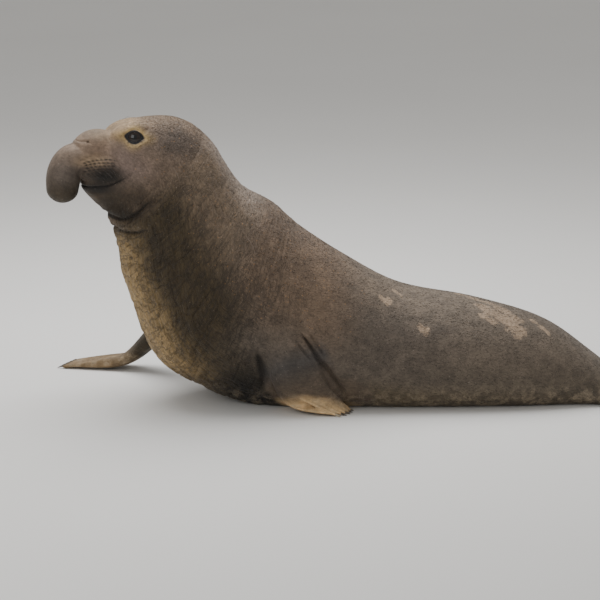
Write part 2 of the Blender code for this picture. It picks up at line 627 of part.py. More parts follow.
def hind_parts():
    """The two hind flippers and the tail between them."""
    last = LENGTHS[0]
    at = np.linspace(STATION_PLACES[0], place_of(LENGTHS[1].station, LENGTHS[1].share), last.rings)
    shift = np.zeros(last.rings)
    shift[0] = -GAP

    def hips_cutter():
        return solid("cutter", posed(trunk_rings(at, grow=GAP, shift=shift, floor=WELL_BELOW)))

    parts = []
    for name, side in (("left", -1), ("right", 1)):
        limb = flipper(
            f"hind_flipper_{name}", HIND_FLIPPER, HIND_TOES, 0.0, 9, lambda p, side=side: posed(p * (1, side, 1))
        )
        parts.append(boolean(limb, [hips_cutter()], "DIFFERENCE"))
    tail = solid("tail", *map(posed, rounded(tube_rings(TAIL, 5, 14), 0.0, 0.016, 2)))
    parts.append(boolean(tail, [hips_cutter()], "DIFFERENCE"))
    return parts


def coat(made, colour, roughness):
    """Gives a part its own plain material and smooth shading."""
    material = bpy.data.materials.new(made.name)
    material.use_nodes = True
    shader = material.node_tree.nodes["Principled BSDF"]
    shader.inputs["Base Color"].default_value = colour
    shader.inputs["Roughness"].default_value = roughness
    shader.inputs["Metallic"].default_value = 0.0
    made.data.materials.clear()
    made.data.materials.append(material)
    made.data.shade_smooth()
    made.data.set_sharp_from_angle(angle=np.radians(SHARP_ANGLE))


def stand_centred(parts):
    """Moves all parts together so that their box is centred over the origin."""
    points = np.concatenate([arrays(made.data)[0] for made in parts])
    shift = -(points.min(axis=0) + points.max(axis=0)) / 2 * (1, 1, 0)
    for made in parts:
        reshape(made, lambda p: p + shift)


def main():
    for old in list(bpy.data.objects):
        bpy.data.objects.remove(old)
    parts = []
    for length, following in zip(LENGTHS, LENGTHS[1:]):
        parts.append(solid(length.node, *map(posed, trunk_piece(length, following))))
    for made in head_parts():
        reshape(made, posed)
        parts.append(made)
    parts += fore_limb("left", LEFT_ARM, LEFT_TOES)
    parts += fore_limb("right", RIGHT_ARM, RIGHT_TOES)
    parts += hind_parts()
    stand_centred(parts)
    for made in parts:
        stem = made.name.removesuffix("_left").removesuffix("_right")
        coat(made, COLOURS.get(stem, HIDE), EYE_ROUGHNESS if stem == "eye" else COAT_ROUGHNESS)


main()
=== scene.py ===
from collections import namedtuple

import bmesh
import bpy
import numpy as np
from mathutils import Matrix, Vector
from mathutils.bvhtree import BVHTree


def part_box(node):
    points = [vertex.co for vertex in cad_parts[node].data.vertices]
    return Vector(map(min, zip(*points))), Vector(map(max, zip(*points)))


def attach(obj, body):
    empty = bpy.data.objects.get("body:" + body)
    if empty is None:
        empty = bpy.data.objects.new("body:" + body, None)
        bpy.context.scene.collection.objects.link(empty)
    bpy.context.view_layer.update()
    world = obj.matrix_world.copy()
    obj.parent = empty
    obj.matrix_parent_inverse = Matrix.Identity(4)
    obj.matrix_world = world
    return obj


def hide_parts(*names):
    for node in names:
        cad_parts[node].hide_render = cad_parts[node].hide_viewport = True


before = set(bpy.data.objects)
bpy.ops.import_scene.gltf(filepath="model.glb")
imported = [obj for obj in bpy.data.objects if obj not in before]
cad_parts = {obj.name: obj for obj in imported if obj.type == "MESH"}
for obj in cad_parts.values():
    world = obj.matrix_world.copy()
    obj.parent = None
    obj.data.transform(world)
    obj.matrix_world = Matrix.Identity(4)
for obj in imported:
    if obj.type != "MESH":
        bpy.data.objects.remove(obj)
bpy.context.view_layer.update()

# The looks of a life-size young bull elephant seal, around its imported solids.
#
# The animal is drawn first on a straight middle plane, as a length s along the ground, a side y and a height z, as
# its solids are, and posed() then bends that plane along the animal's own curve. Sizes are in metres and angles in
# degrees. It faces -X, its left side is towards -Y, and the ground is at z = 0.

# Shape of the solids, repeated
Heading = namedtuple("Heading", "place angle")
BEND = (
    Heading(-2.00, 17.0),
    Heading(-0.95, 17.0),
    Heading(-0.70, 15.0),
    Heading(-0.30, 9.0),
    Heading(0.20, 2.0),
    Heading(0.90, -3.0),
    Heading(1.70, -5.0),
    Heading(2.60, -5.0),
)
BEND_ANCHOR = 0.30
BEND_SAMPLES = 2301

Station = namedtuple("Station", "name back belly half_width widest keel")
TRUNK = (
    Station("rump", (1.665, 0.075), (1.665, 0.025), 0.050, 0.50, 2.10),
    Station("ankles", (1.590, 0.130), (1.590, -0.020), 0.160, 0.45, 2.10),
    Station("hip_end", (1.455, 0.232), (1.450, -0.035), 0.222, 0.42, 2.15),
    Station("hips", (1.253, 0.373), (1.235, -0.045), 0.285, 0.40, 2.15),
    Station("loins", (1.002, 0.467), (0.975, -0.050), 0.345, 0.39, 2.15),
    Station("belly", (0.751, 0.521), (0.700, -0.055), 0.382, 0.39, 2.15),
    Station("waist", (0.500, 0.568), (0.420, -0.055), 0.402, 0.39, 2.15),
    Station("ribs", (0.250, 0.700), (0.110, -0.055), 0.418, 0.40, 2.15),
    Station("shoulder", (0.000, 0.868), (-0.232, -0.038), 0.425, 0.42, 2.10),
    Station("breast", (-0.125, 0.984), (-0.560, 0.093), 0.415, 0.45, 2.05),
    Station("chest", (-0.208, 1.033), (-0.748, 0.254), 0.390, 0.48, 2.00),
    Station("neck_root", (-0.268, 1.067), (-0.830, 0.455), 0.360, 0.50, 2.00),
    Station("neck", (-0.325, 1.128), (-0.888, 0.620), 0.330, 0.51, 2.00),
    Station("neck_top", (-0.379, 1.214), (-0.909, 0.742), 0.303, 0.52, 2.00),
    Station("gullet", (-0.429, 1.296), (-0.930, 0.840), 0.276, 0.53, 1.95),
    Station("throat", (-0.484, 1.358), (-0.950, 0.906), 0.250, 0.55, 1.90),
    Station("nape", (-0.548, 1.406), (-0.969, 0.944), 0.225, 0.57, 1.85),
    Station("occiput", (-0.628, 1.437), (-0.989, 0.979), 0.202, 0.59, 1.80),
    Station("crown", (-0.708, 1.444), (-1.009, 1.005), 0.179, 0.60, 1.75),
    Station("brow", (-0.789, 1.441), (-1.029, 1.021), 0.157, 0.60, 1.75),
    Station("eyes", (-0.864, 1.428), (-1.051, 1.045), 0.136, 0.58, 1.80),
    Station("bridge", (-0.930, 1.396), (-1.073, 1.069), 0.119, 0.58, 1.90),
    Station("snout", (-0.985, 1.355), (-1.089, 1.090), 0.104, 0.60, 2.05),
    Station("lips", (-1.030, 1.290), (-1.099, 1.112), 0.090, 0.58, 2.10),
    Station("mouth_tip", (-1.062, 1.225), (-1.100, 1.140), 0.052, 0.50, 2.00),
)
ROUNDNESS = 2.15

Form = namedtuple("Form", "name middle half pitch yaw side")
HEAD_FORMS = (
    Form("lip_pad", (-1.012, 0.055, 1.196), (0.118, 0.058, 0.078), -4.0, 12.0, 1),
    Form("brow", (-0.858, 0.058, 1.368), (0.120, 0.070, 0.060), 12.0, 8.0, 1),
    Form("muzzle", (-0.975, 0.045, 1.287), (0.118, 0.066, 0.072), -6.0, 10.0, 1),
    Form("chin", (-1.017, 0.0, 1.081), (0.099, 0.070, 0.048), -40.0, 0.0, 0),
)

Knot = namedtuple("Knot", "point half_width half_depth side")
BULGE = (
    Knot((-0.925, 0, 1.300), 0.074, 0.060, (0, 1, 0)),
    Knot((-0.985, 0, 1.313), 0.096, 0.077, (0, 1, 0)),
    Knot((-1.040, 0, 1.308), 0.101, 0.083, (0, 1, 0)),
    Knot((-1.085, 0, 1.290), 0.092, 0.074, (0, 1, 0)),
)
BULGE_ENDS = (0.030, 0.045)
LOBE = (
    Knot((-1.010, 0, 1.255), 0.094, 0.050, (0, 1, 0)),
    Knot((-1.075, 0, 1.266), 0.100, 0.060, (0, 1, 0)),
    Knot((-1.135, 0, 1.256), 0.101, 0.073, (0, 1, 0)),
    Knot((-1.177, 0, 1.210), 0.101, 0.081, (0, 1, 0)),
    Knot((-1.190, 0, 1.150), 0.098, 0.086, (0, 1, 0)),
    Knot((-1.194, 0, 1.106), 0.090, 0.082, (0, 1, 0)),
)
LOBE_ENDS = (0.020, 0.070)

EYE = (-0.845, 0.086, 1.357)
EYE_RADIUS = 0.048
EYE_OPENING = (0.041, 0.0285)
EYE_OUTWARD = (-0.36, 1.0, 0.18)
EYE_CORNER = 0.30  # how far the opening closes towards its corners

LEFT_ARM = (
    Knot((-0.085, -0.300, 0.480), 0.140, 0.090, (1, 0, 0)),
    Knot((-0.066, -0.385, 0.350), 0.138, 0.072, (1, 0, 0)),
    Knot((-0.032, -0.425, 0.250), 0.136, 0.056, (1, 0, 0)),
    Knot((-0.002, -0.420, 0.165), 0.136, 0.046, (1, -0.02, 0.04)),
    Knot((0.030, -0.395, 0.100), 0.139, 0.036, (1, -0.06, 0.10)),
    Knot((0.078, -0.376, 0.052), 0.136, 0.027, (0.98, 0.06, 0.14)),
    Knot((0.140, -0.386, 0.026), 0.108, 0.019, (0.82, 0.57, 0.04)),
    Knot((0.195, -0.402, 0.014), 0.077, 0.013, (0.60, 0.80, 0)),
)
RIGHT_ARM = (
    Knot((-0.520, 0.300, 0.420), 0.110, 0.080, (0.5, 0.8, 0.2)),
    Knot((-0.640, 0.420, 0.300), 0.110, 0.062, (0.5, 0.8, 0.2)),
    Knot((-0.755, 0.480, 0.185), 0.100, 0.050, (0.45, 0.85, 0.1)),
    Knot((-0.840, 0.510, 0.095), 0.090, 0.042, (0.3, 0.95, 0)),
    Knot((-0.915, 0.525, 0.045), 0.085, 0.032, (0.28, 0.96, 0)),
    Knot((-1.035, 0.550, 0.024), 0.088, 0.024, (0.24, 0.97, 0)),
    Knot((-1.178, 0.574, 0.013), 0.078, 0.013, (0.20, 0.98, 0)),
)
HIND_FLIPPER = (
    Knot((1.460, 0.100, 0.092), 0.085, 0.058, (0, 1, 0)),
    Knot((1.600, 0.108, 0.066), 0.080, 0.046, (0, 1, 0.05)),
    Knot((1.710, 0.128, 0.046), 0.084, 0.032, (0.05, 1, 0.05)),
    Knot((1.850, 0.165, 0.028), 0.116, 0.018, (0.12, 1, 0.03)),
    Knot((2.000, 0.205, 0.014), 0.148, 0.010, (0.18, 1, 0)),
)
TAIL = (
    Knot((1.600, 0, 0.064), 0.024, 0.026, (0, 1, 0)),
    Knot((1.670, 0, 0.054), 0.024, 0.022, (0, 1, 0)),
    Knot((1.745, 0, 0.038), 0.018, 0.014, (0, 1, 0)),
)
Toes = namedtuple("Toes", "reach width_root width_tip depth_root depth_tip fan root_share claw_length claw_radius")
LEFT_TOES = Toes((0.012, 0.020, 0.020, 0.014, 0.004), 0.021, 0.018, 0.020, 0.012, 0.82, 0.66, 0.032, 0.0065)
RIGHT_TOES = Toes((0.030, 0.024, 0.016, 0.006, -0.006), 0.021, 0.018, 0.020, 0.012, 0.82, 0.66, 0.032, 0.0065)
HIND_TOES = Toes((0.062, 0.024, 0.004, 0.020, 0.054), 0.024, 0.031, 0.021, 0.011, 0.79, 0.42, 0.016, 0.0045)

# The skin
COAT = 0.003  # how far the skin lies inside the solids
VOXEL = 0.0046
THINNING = (("body", 0.095), ("chest", 0.155), ("hands", 0.20), ("head", 0.41))  # what share of triangles each keeps
FLOOR_CLEAR = 0.0008

# A fold of the skin along a line seen from the side, from the nose backwards as (s, z): how wide and how deep it
# is, how far the flesh above it swells, the shares over which it fades in and out, and the side it is on, 0 for both.
Fold = namedtuple("Fold", "name line radius deep swell fade_in fade_out side")
# The broad folds also darken the coat's colour in tints(), as painted shade.
BROAD_FOLDS = (
    Fold(
        "jaw",
        ((-1.000, 0.985), (-0.969, 0.966), (-0.936, 0.954), (-0.895, 0.963), (-0.871, 0.987), (-0.839, 1.019),
         (-0.812, 1.050), (-0.781, 1.063), (-0.734, 1.066)),
        0.0095, 0.016, 0.010, 0.05, 0.45, 0,
    ),
    Fold(
        "second roll",
        ((-0.950, 0.908), (-0.921, 0.893), (-0.887, 0.892), (-0.848, 0.902), (-0.822, 0.925), (-0.803, 0.960)),
        0.0095, 0.013, 0.007, 0.05, 0.45, 0,
    ),
    Fold("third roll", ((-0.925, 0.840), (-0.890, 0.822), (-0.850, 0.826)), 0.010, 0.006, 0.003, 0.2, 0.6, 0),
    Fold("chest fold", ((-0.72, 0.552), (-0.66, 0.545), (-0.60, 0.550), (-0.53, 0.562)), 0.007, 0.005, 0.002, 0.3, 0.4, 0),
    Fold("chest fold", ((-0.70, 0.520), (-0.63, 0.512), (-0.57, 0.520)), 0.007, 0.004, 0.002, 0.3, 0.4, 0),
    Fold("neck crease", ((-0.568, 1.070), (-0.550, 1.015), (-0.530, 0.955)), 0.006, 0.0050, 0.002, 0.5, 0.5, 0),
    Fold("neck crease", ((-0.530, 1.080), (-0.512, 1.020), (-0.490, 0.955)), 0.006, 0.0062, 0.002, 0.5, 0.5, 0),
    Fold("neck crease", ((-0.495, 1.095), (-0.470, 1.020), (-0.452, 0.945)), 0.006, 0.0062, 0.002, 0.5, 0.5, 0),
    Fold("neck crease", ((-0.458, 1.085), (-0.436, 1.020), (-0.416, 0.950)), 0.006, 0.0050, 0.002, 0.5, 0.5, 0),
    Fold("arm pit", ((-0.040, 0.430), (-0.010, 0.388), (0.026, 0.340), (0.058, 0.292), (0.085, 0.262)), 0.0080, 0.015, 0.008, 0.3, 0.15, -1),
    Fold("arm pit", ((-0.005, 0.440), (0.022, 0.405), (0.054, 0.360), (0.084, 0.318), (0.108, 0.282)), 0.0070, 0.011, 0.007, 0.3, 0.3, -1),
    Fold("arm pit", ((-0.062, 0.392), (-0.034, 0.350), (0.004, 0.308), (0.042, 0.272)), 0.0065, 0.009, 0.005, 0.3, 0.3, -1),
    Fold("behind the arm", ((0.072, 0.276), (0.118, 0.226), (0.152, 0.180), (0.186, 0.128), (0.212, 0.080), (0.224, 0.050)),
         0.0105, 0.020, 0.0, 0.05, 0.15, -1),
    Fold("before the arm", ((-0.296, 0.400), (-0.274, 0.330), (-0.250, 0.255), (-0.228, 0.175), (-0.212, 0.110)), 0.020, 0.036, 0.0, 0.85, 0.25, -1),
    Fold("arm pit", ((-0.36, 0.42), (-0.33, 0.37), (-0.29, 0.31)), 0.008, 0.006, 0.002, 0.4, 0.4, 1),
)
FINE_FOLDS = (
    Fold(
        "mouth",
        ((-1.112, 1.120), (-1.070, 1.117), (-1.026, 1.120), (-0.981, 1.129), (-0.946, 1.147), (-0.919, 1.165),
         (-0.893, 1.184)),
        0.0042, 0.010, 0.004, 0.10, 0.25, 0,
    ),
    Fold("mouth corner", ((-0.930, 1.138), (-0.908, 1.158), (-0.888, 1.182), (-0.872, 1.206)), 0.005, 0.004, 0.002, 0.4, 0.4, 0),
    Fold("mouth corner", ((-0.912, 1.128), (-0.888, 1.148), (-0.868, 1.178)), 0.005, 0.003, 0.002, 0.4, 0.4, 0),
    Fold("nose groove", ((-1.140, 1.346), (-1.109, 1.344), (-1.080, 1.343), (-1.064, 1.332), (-1.050, 1.306)), 0.0045, 0.0035, 0.0, 0.1, 0.6, 0),
    Fold("brow wrinkle", ((-0.884, 1.412), (-0.860, 1.424), (-0.832, 1.430)), 0.0035, 0.0035, 0.001, 0.4, 0.4, 0),
    Fold("brow wrinkle", ((-0.868, 1.428), (-0.840, 1.438), (-0.808, 1.441)), 0.0035, 0.0040, 0.001, 0.4, 0.4, 0),
    Fold("brow wrinkle", ((-0.846, 1.441), (-0.820, 1.446), (-0.792, 1.446)), 0.0035, 0.0030, 0.001, 0.4, 0.4, 0),
)

# A small dent: its middle, its half-sizes along, across and up, and its depth.
Dent = namedtuple("Dent", "name middle half deep")
DENTS = (
    Dent("nose pit", (-1.082, 0.074, 1.344), (0.006, 0.010, 0.005), 0.007),
    Dent("nostril", (-1.176, 0.034, 1.040), (0.020, 0.0085, 0.018), 0.022),
    Dent("cleft", (-1.225, 0.0, 1.050), (0.060, 0.005, 0.040), 0.006),
)
CHEST_PIT = Dent("chest pit", (-0.868, -0.100, 0.762), (0.022, 0.032, 0.013), 0.016)

# The whisker pad, seen from the side as an ellipse.
PAD_MIDDLE = (-1.036, 1.214)
PAD_HALF = (0.094, 0.060)
PAD_TILT = 6.0
PAD_SWELL = 0.008
PAD_GROOVE = 0.004
WHISKER_ROWS = 6
WHISKERS_IN_ROW = 7

# A soft mark on the coat: its middle with its distance from the middle plane, its half-sizes, its colour, and how
# strongly it covers. Some marks are painted light on the head's upper faces and some painted shade on its lower ones,
# as noted at each.
Mark = namedtuple("Mark", "name middle half colour cover")
HEAD_MARKS = (
    Mark("crown", (-0.66, 0.00, 1.45), (0.24, 0.17, 0.10), (0.190, 0.128, 0.078), 0.8),
    # partly a paler coat, partly painted rim light from behind, on the bridge and the brows
    Mark("bridge", (-0.92, 0.04, 1.40), (0.12, 0.10, 0.06), (0.370, 0.255, 0.140), 0.8),
    Mark("bulge", (-1.02, 0.00, 1.40), (0.10, 0.13, 0.05), (0.180, 0.126, 0.080), 0.8),
    Mark("side of the nose", (-1.02, 0.10, 1.31), (0.10, 0.06, 0.05), (0.205, 0.140, 0.096), 0.8),
    # painted light: the top of the lobe is lighter where the light falls on it
    Mark("lobe top", (-1.17, 0.00, 1.33), (0.10, 0.14, 0.06), (0.200, 0.140, 0.098), 0.8),
    Mark("lobe", (-1.19, 0.06, 1.18), (0.10, 0.10, 0.09), (0.092, 0.074, 0.062), 0.9),
    # painted shade: the lobe's lower part is darker where it faces down
    Mark("lobe tip", (-1.19, 0.00, 1.08), (0.13, 0.17, 0.080), (0.030, 0.022, 0.012), 1.0),
    Mark("cheek", (-0.88, 0.15, 1.24), (0.13, 0.10, 0.09), (0.215, 0.155, 0.128), 0.85),
    Mark("temple", (-0.74, 0.17, 1.30), (0.14, 0.10, 0.10), (0.165, 0.116, 0.082), 0.8),
    Mark("side of the head", (-0.66, 0.18, 1.345), (0.13, 0.10, 0.075), (0.078, 0.060, 0.048), 0.75),
    # painted shade under the head: under the jaw, and on the chin and the jaw over their own darker colour
    Mark("under the jaw", (-0.925, 0.11, 0.985), (0.100, 0.17, 0.034), (0.014, 0.009, 0.004), 1.0),
    Mark("chin", (-0.96, 0.09, 1.035), (0.14, 0.13, 0.075), (0.024, 0.016, 0.008), 1.0),
    Mark("jaw", (-0.86, 0.16, 1.07), (0.11, 0.11, 0.06), (0.050, 0.034, 0.020), 0.85),
    # the whisker pad: dark skin with painted shade on its lower half, which faces down, and painted light on its top
    Mark("pad", (-1.005, 0.12, 1.172), (0.112, 0.11, 0.060), (0.010, 0.008, 0.006), 1.0),
    Mark("pad top", (-1.060, 0.10, 1.252), (0.085, 0.05, 0.030), (0.320, 0.225, 0.140), 0.82),
    # painted shade beneath the overhang of the lip
    Mark("under the lip", (-1.04, 0.05, 1.110), (0.10, 0.12, 0.032), (0.012, 0.009, 0.007), 1.0),
    # partly painted shade in the second roll's creases, over its own darker colour
    Mark("second roll", (-0.90, 0.10, 0.915), (0.11, 0.19, 0.036), (0.105, 0.076, 0.044), 0.7),
)

# The solids that the skin takes the place of
FLESH = (
    "head", "proboscis", "lower_jaw", "neck", "chest", "torso", "abdomen", "hips", "tail",
    "fore_arm_left", "fore_arm_right", "fore_hand_left", "fore_hand_right",
    "hind_flipper_left", "hind_flipper_right",
)

# The camera
CAMERA_TARGET = (0.0, 0.0, 0.4835)
CAMERA_DISTANCE = 16.7
CAMERA_ELEVATION = 13.0
CAMERA_LENS = 200.0


def spline(places, values, at):
    """A natural cubic spline through values at places, read at other places: its curvature is continuous, and is
    zero at both ends."""
    places = np.asarray(places, float)
    values = np.asarray(values, float).reshape(len(places), -1)
    at = np.atleast_1d(np.asarray(at, float))
    step = np.diff(places)
    slope = np.diff(values, axis=0) / step[:, None]
    system = np.eye(len(places))
    wanted = np.zeros_like(values)
    for i in range(1, len(places) - 1):
        system[i, i - 1 : i + 2] = step[i - 1], 2 * (step[i - 1] + step[i]), step[i]
        wanted[i] = 6 * (slope[i] - slope[i - 1])
    curve = np.linalg.solve(system, wanted)
    i = np.clip(np.searchsorted(places, at, side="right") - 1, 0, len(places) - 2)
    h = step[i][:, None]
    left = (places[i + 1] - at)[:, None]
    right = (at - places[i])[:, None]
    cubic = (curve[i] * left**3 + curve[i + 1] * right**3) / (6 * h)
    start = (values[i] / h - curve[i] * h / 6) * left
    end = (values[i + 1] / h - curve[i + 1] * h / 6) * right
    return cubic + start + end


def distances(path):
    """How far along a path each of its points lies."""
    steps = np.linalg.norm(np.diff(np.asarray(path, float), axis=0), axis=1)
    return np.concatenate([[0], np.cumsum(steps)])


def smoother(low, high, value):
    """A smooth step: 0 below low, 1 above high, and 3t^2 - 2t^3 between them."""
    t = np.clip((value - low) / (high - low), 0, 1)
    return t * t * (3 - 2 * t)


def bend_tables():
    """The middle plane's own places s, the x and y that it passes through, and its heading there."""
    s = np.linspace(BEND[0].place, BEND[-1].place, BEND_SAMPLES)
    heading = np.radians(spline([b.place for b in BEND], [b.angle for b in BEND], s)[:, 0])
    x = np.cumsum(np.cos(heading)) * (s[1] - s[0])
    y = np.cumsum(np.sin(heading)) * (s[1] - s[0])
    x += BEND_ANCHOR - np.interp(BEND_ANCHOR, s, x)
    y -= np.interp(BEND_ANCHOR, s, y)
    return s, x, y, heading


BEND_TABLES = bend_tables()


def posed(points):
    """Bends the straight middle plane along the animal's sideways curve: a point keeps its height and its distance
    from the plane."""
    points = np.asarray(points, float)
    s, x, y, heading = BEND_TABLES
    along, side, up = points[..., 0], points[..., 1], points[..., 2]
    turn = np.interp(along, s, heading)
    bent_x = np.interp(along, s, x) - side * np.sin(turn)
    bent_y = np.interp(along, s, y) + side * np.cos(turn)
    return np.stack([bent_x, bent_y, up], axis=-1)


def straight(points):
    """The inverse of posed(): each point's foot on the bent middle line is found by four steps of correction."""
    points = np.asarray(points, float)
    s, x, y, heading = BEND_TABLES
    along = np.interp(points[..., 0], x, s)
    for _ in range(5):
        turn = np.interp(along, s, heading)
        dx = points[..., 0] - np.interp(along, s, x)
        dy = points[..., 1] - np.interp(along, s, y)
        along = along + dx * np.cos(turn) + dy * np.sin(turn)
    turn = np.interp(along, s, heading)
    dx = points[..., 0] - np.interp(along, s, x)
    dy = points[..., 1] - np.interp(along, s, y)
    return np.stack([along, dy * np.cos(turn) - dx * np.sin(turn), points[..., 2]], axis=-1)


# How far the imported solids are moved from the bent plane's own place, read from the left eye's middle.
EYE_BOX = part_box("eye_left")
EYE_MIDDLE = (np.array(EYE_BOX[0]) + np.array(EYE_BOX[1])) / 2
SHIFT = (EYE_MIDDLE - posed(np.array(EYE) * (1, -1, 1))) * (1, 1, 0)


def placed(points):
    """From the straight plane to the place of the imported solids."""
    return posed(points) + SHIFT


BACKS = np.array([station.back for station in TRUNK])
BELLIES = np.array([station.belly for station in TRUNK])
STATION_PLACES = distances((BACKS + BELLIES) / 2)
TRUNK_LENGTH = STATION_PLACES[-1]


def place_of(name):
    """The place of a station along the trunk."""
    return STATION_PLACES[[station.name for station in TRUNK].index(name)]


def trunk_rings(at, around, grow=0.0):
    """Cross-sections of the trunk at places along it. Each is two half outlines that meet at its greatest width,
    made larger all round by grow, and kept above the ground."""
    back = spline(STATION_PLACES, BACKS, at)
    belly = spline(STATION_PLACES, BELLIES, at)
    half_width = spline(STATION_PLACES, [station.half_width for station in TRUNK], at)[:, 0] + grow
    widest, keel = spline(STATION_PLACES, [(station.widest, station.keel) for station in TRUNK], at).T[..., None]
    upward = (back - belly) / np.linalg.norm(back - belly, axis=1)[:, None]
    back, belly = back + upward * grow, belly - upward * grow
    angle = np.arange(around) * 2 * np.pi / around
    power = np.where(np.cos(angle) > 0, ROUNDNESS, keel)
    rise = np.sign(np.cos(angle)) * np.abs(np.cos(angle)) ** (2 / power)
    spread = np.sign(np.sin(angle)) * np.abs(np.sin(angle)) ** (2 / power)
    level = widest + np.where(rise > 0, 1 - widest, widest) * rise
    rings = np.zeros((len(back), around, 3))
    rings[..., 0] = belly[:, :1] + (back - belly)[:, :1] * level
    rings[..., 1] = half_width[:, None] * spread
    rings[..., 2] = np.maximum(belly[:, 1:] + (back - belly)[:, 1:] * level, FLOOR_CLEAR)
    return rings


def frames(knots, shares):
    """The middle, the two half-sizes, the direction and the side direction of a line of knots at shares of it."""
    path = np.array([knot.point for knot in knots], float)
    places = distances(path)
    at = np.asarray(shares) * places[-1]
    small = places[-1] * 1e-3
    along = spline(places, path, at + small) - spline(places, path, at - small)
    along /= np.linalg.norm(along, axis=1)[:, None]
    side = spline(places, [knot.side for knot in knots], at)
    side /= np.linalg.norm(side, axis=1)[:, None]
    half = spline(places, [(knot.half_width, knot.half_depth) for knot in knots], at)
    return spline(places, path, at), half, along, side


def tube_rings(knots, rings, around, start=0.0, end=1.0, grow=0.0):
    """Ellipses carried along a smooth middle line through knots, from one share of its length to another."""
    centre, half, along, side = frames(knots, np.linspace(start, end, rings))
    over = np.cross(along, side)
    over /= np.linalg.norm(over, axis=1)[:, None]
    angle = np.arange(around) * 2 * np.pi / around
    across = side[:, None] * ((half[:, :1] + grow) * np.cos(angle))[..., None]
    return centre[:, None] + across + over[:, None] * ((half[:, 1:] + grow) * np.sin(angle))[..., None]


def rounded(rings, reach_start=0.0, reach_end=0.0, steps=8):
    """Adds a cap to each end of the rings that is given a reach: the end ring shrinks as a cosine while it moves
    outwards as a sine. Returns the rings with their two tips."""
    tips = [rings[0].mean(axis=0), rings[-1].mean(axis=0)]
    inner = [rings[1].mean(axis=0), rings[-2].mean(axis=0)]
    turns = np.arange(1, steps + 1) * np.pi / 2 / (steps + 1)
    blocks = [rings]
    for end, reach in ((0, reach_start), (-1, reach_end)):
        if not reach:
            continue
        outward = (tips[end] - inner[end]) / np.linalg.norm(tips[end] - inner[end])
        arch = [tips[end] + (rings[end] - tips[end]) * np.cos(t) + outward * reach * np.sin(t) for t in turns]
        blocks = [np.array(arch[::-1])] + blocks if end == 0 else blocks + [np.array(arch)]
        tips[end] = tips[end] + outward * reach
    return np.concatenate(blocks), tips


def egg_rings(form, rings=40, around=64, grow=0.0):
    """An ellipsoid, with its first half-size along its own length, tipped up at its rear by pitch, turned by yaw."""
    theta = np.linspace(0, np.pi, rings + 2)
    phi = np.arange(around) * 2 * np.pi / around
    unit = np.zeros((rings + 2, around, 3))
    unit[..., 0] = -np.cos(theta)[:, None]
    unit[..., 1] = np.sin(theta)[:, None] * np.cos(phi)
    unit[..., 2] = np.sin(theta)[:, None] * np.sin(phi)
    a, b = np.radians(form.pitch), np.radians(form.yaw)
    tip = np.array([[np.cos(a), 0, -np.sin(a)], [0, 1, 0], [np.sin(a), 0, np.cos(a)]])
    turn = np.array([[np.cos(b), -np.sin(b), 0], [np.sin(b), np.cos(b), 0], [0, 0, 1]])
    points = unit * (np.asarray(form.half) + grow) @ (turn @ tip).T + np.asarray(form.middle)
    return points[1:-1], [points[0, 0], points[-1, 0]]


def mirrored(form):
    """The same form on the other side of the middle plane."""
    s, y, z = form.middle
    return form._replace(middle=(s, -y, z), yaw=-form.yaw)


def both_sides(form):
    """A form, and its mirror where it has one."""
    return (form, mirrored(form)) if form.side else (form,)


def closed(rings, tips=None):
    """The points and triangles of a closed surface: a grid of quads split alike between rings, and a fan at each
    end about its middle or about a given tip."""
    count, around = rings.shape[:2]
    ends = [rings[0].mean(axis=0), rings[-1].mean(axis=0)] if tips is None else list(tips)
    points = np.concatenate([rings.reshape(-1, 3), ends])
    row = np.arange(around)
    after = (row + 1) % around
    start = (np.arange(count - 1) * around)[:, None]
    last = (count - 1) * around
    faces = np.concatenate(
        [
            np.stack([start + row, start + after, start + around + after], axis=-1).reshape(-1, 3),
            np.stack([start + row, start + around + after, start + around + row], axis=-1).reshape(-1, 3),
            np.stack([np.full(around, count * around), after, row], axis=1),
            np.stack([np.full(around, count * around + 1), last + row, last + after], axis=1),
        ]
    )
    middle = points.mean(axis=0)
    if np.linalg.det(points[faces] - middle).sum() < 0:
        faces = faces[:, ::-1]
    return points, faces


def joined(parts):
    """Several (points, triangles) pairs as one."""
    starts = np.cumsum([0] + [len(points) for points, _ in parts[:-1]])
    return np.concatenate([p for p, _ in parts]), np.concatenate([f + n for (_, f), n in zip(parts, starts)])


def build(name, points, faces, material=None, smooth=True):
    """A mesh object at the origin from arrays of points and of triangles or quads."""
    mesh = bpy.data.meshes.new(name)
    mesh.vertices.add(len(points))
    mesh.vertices.foreach_set("co", np.asarray(points, np.float32).ravel())
    sides = faces.shape[1]
    mesh.loops.add(faces.size)
    mesh.loops.foreach_set("vertex_index", np.asarray(faces, np.int32).ravel())
    mesh.polygons.add(len(faces))
    mesh.polygons.foreach_set("loop_start", np.arange(0, faces.size, sides, dtype=np.int32))
    mesh.update(calc_edges=True)
    mesh.validate()
    if smooth:
        mesh.polygons.foreach_set("use_smooth", np.ones(len(mesh.polygons), bool))
    if material is not None:
        mesh.materials.append(material)
    made = bpy.data.objects.new(name, mesh)
    bpy.context.scene.collection.objects.link(made)
    return made


def coordinates(mesh):
    """A mesh's points as an array."""
    points = np.empty(len(mesh.vertices) * 3, np.float32)
    mesh.vertices.foreach_get("co", points)
    return points.reshape(-1, 3).astype(float)


def normals(mesh):
    """A mesh's outward directions at its points."""
    found = np.empty(len(mesh.vertices) * 3, np.float32)
    mesh.vertex_normals.foreach_get("vector", found)
    return found.reshape(-1, 3).astype(float)


def edge_pairs(mesh):
    """The two points of each edge."""
    pairs = np.empty(len(mesh.edges) * 2, np.int32)
    mesh.edges.foreach_get("vertices", pairs)
    return pairs.reshape(-1, 2)


def put(mesh, points):
    """Writes the points back into a mesh."""
    mesh.vertices.foreach_set("co", np.asarray(points, np.float32).ravel())
    mesh.update()


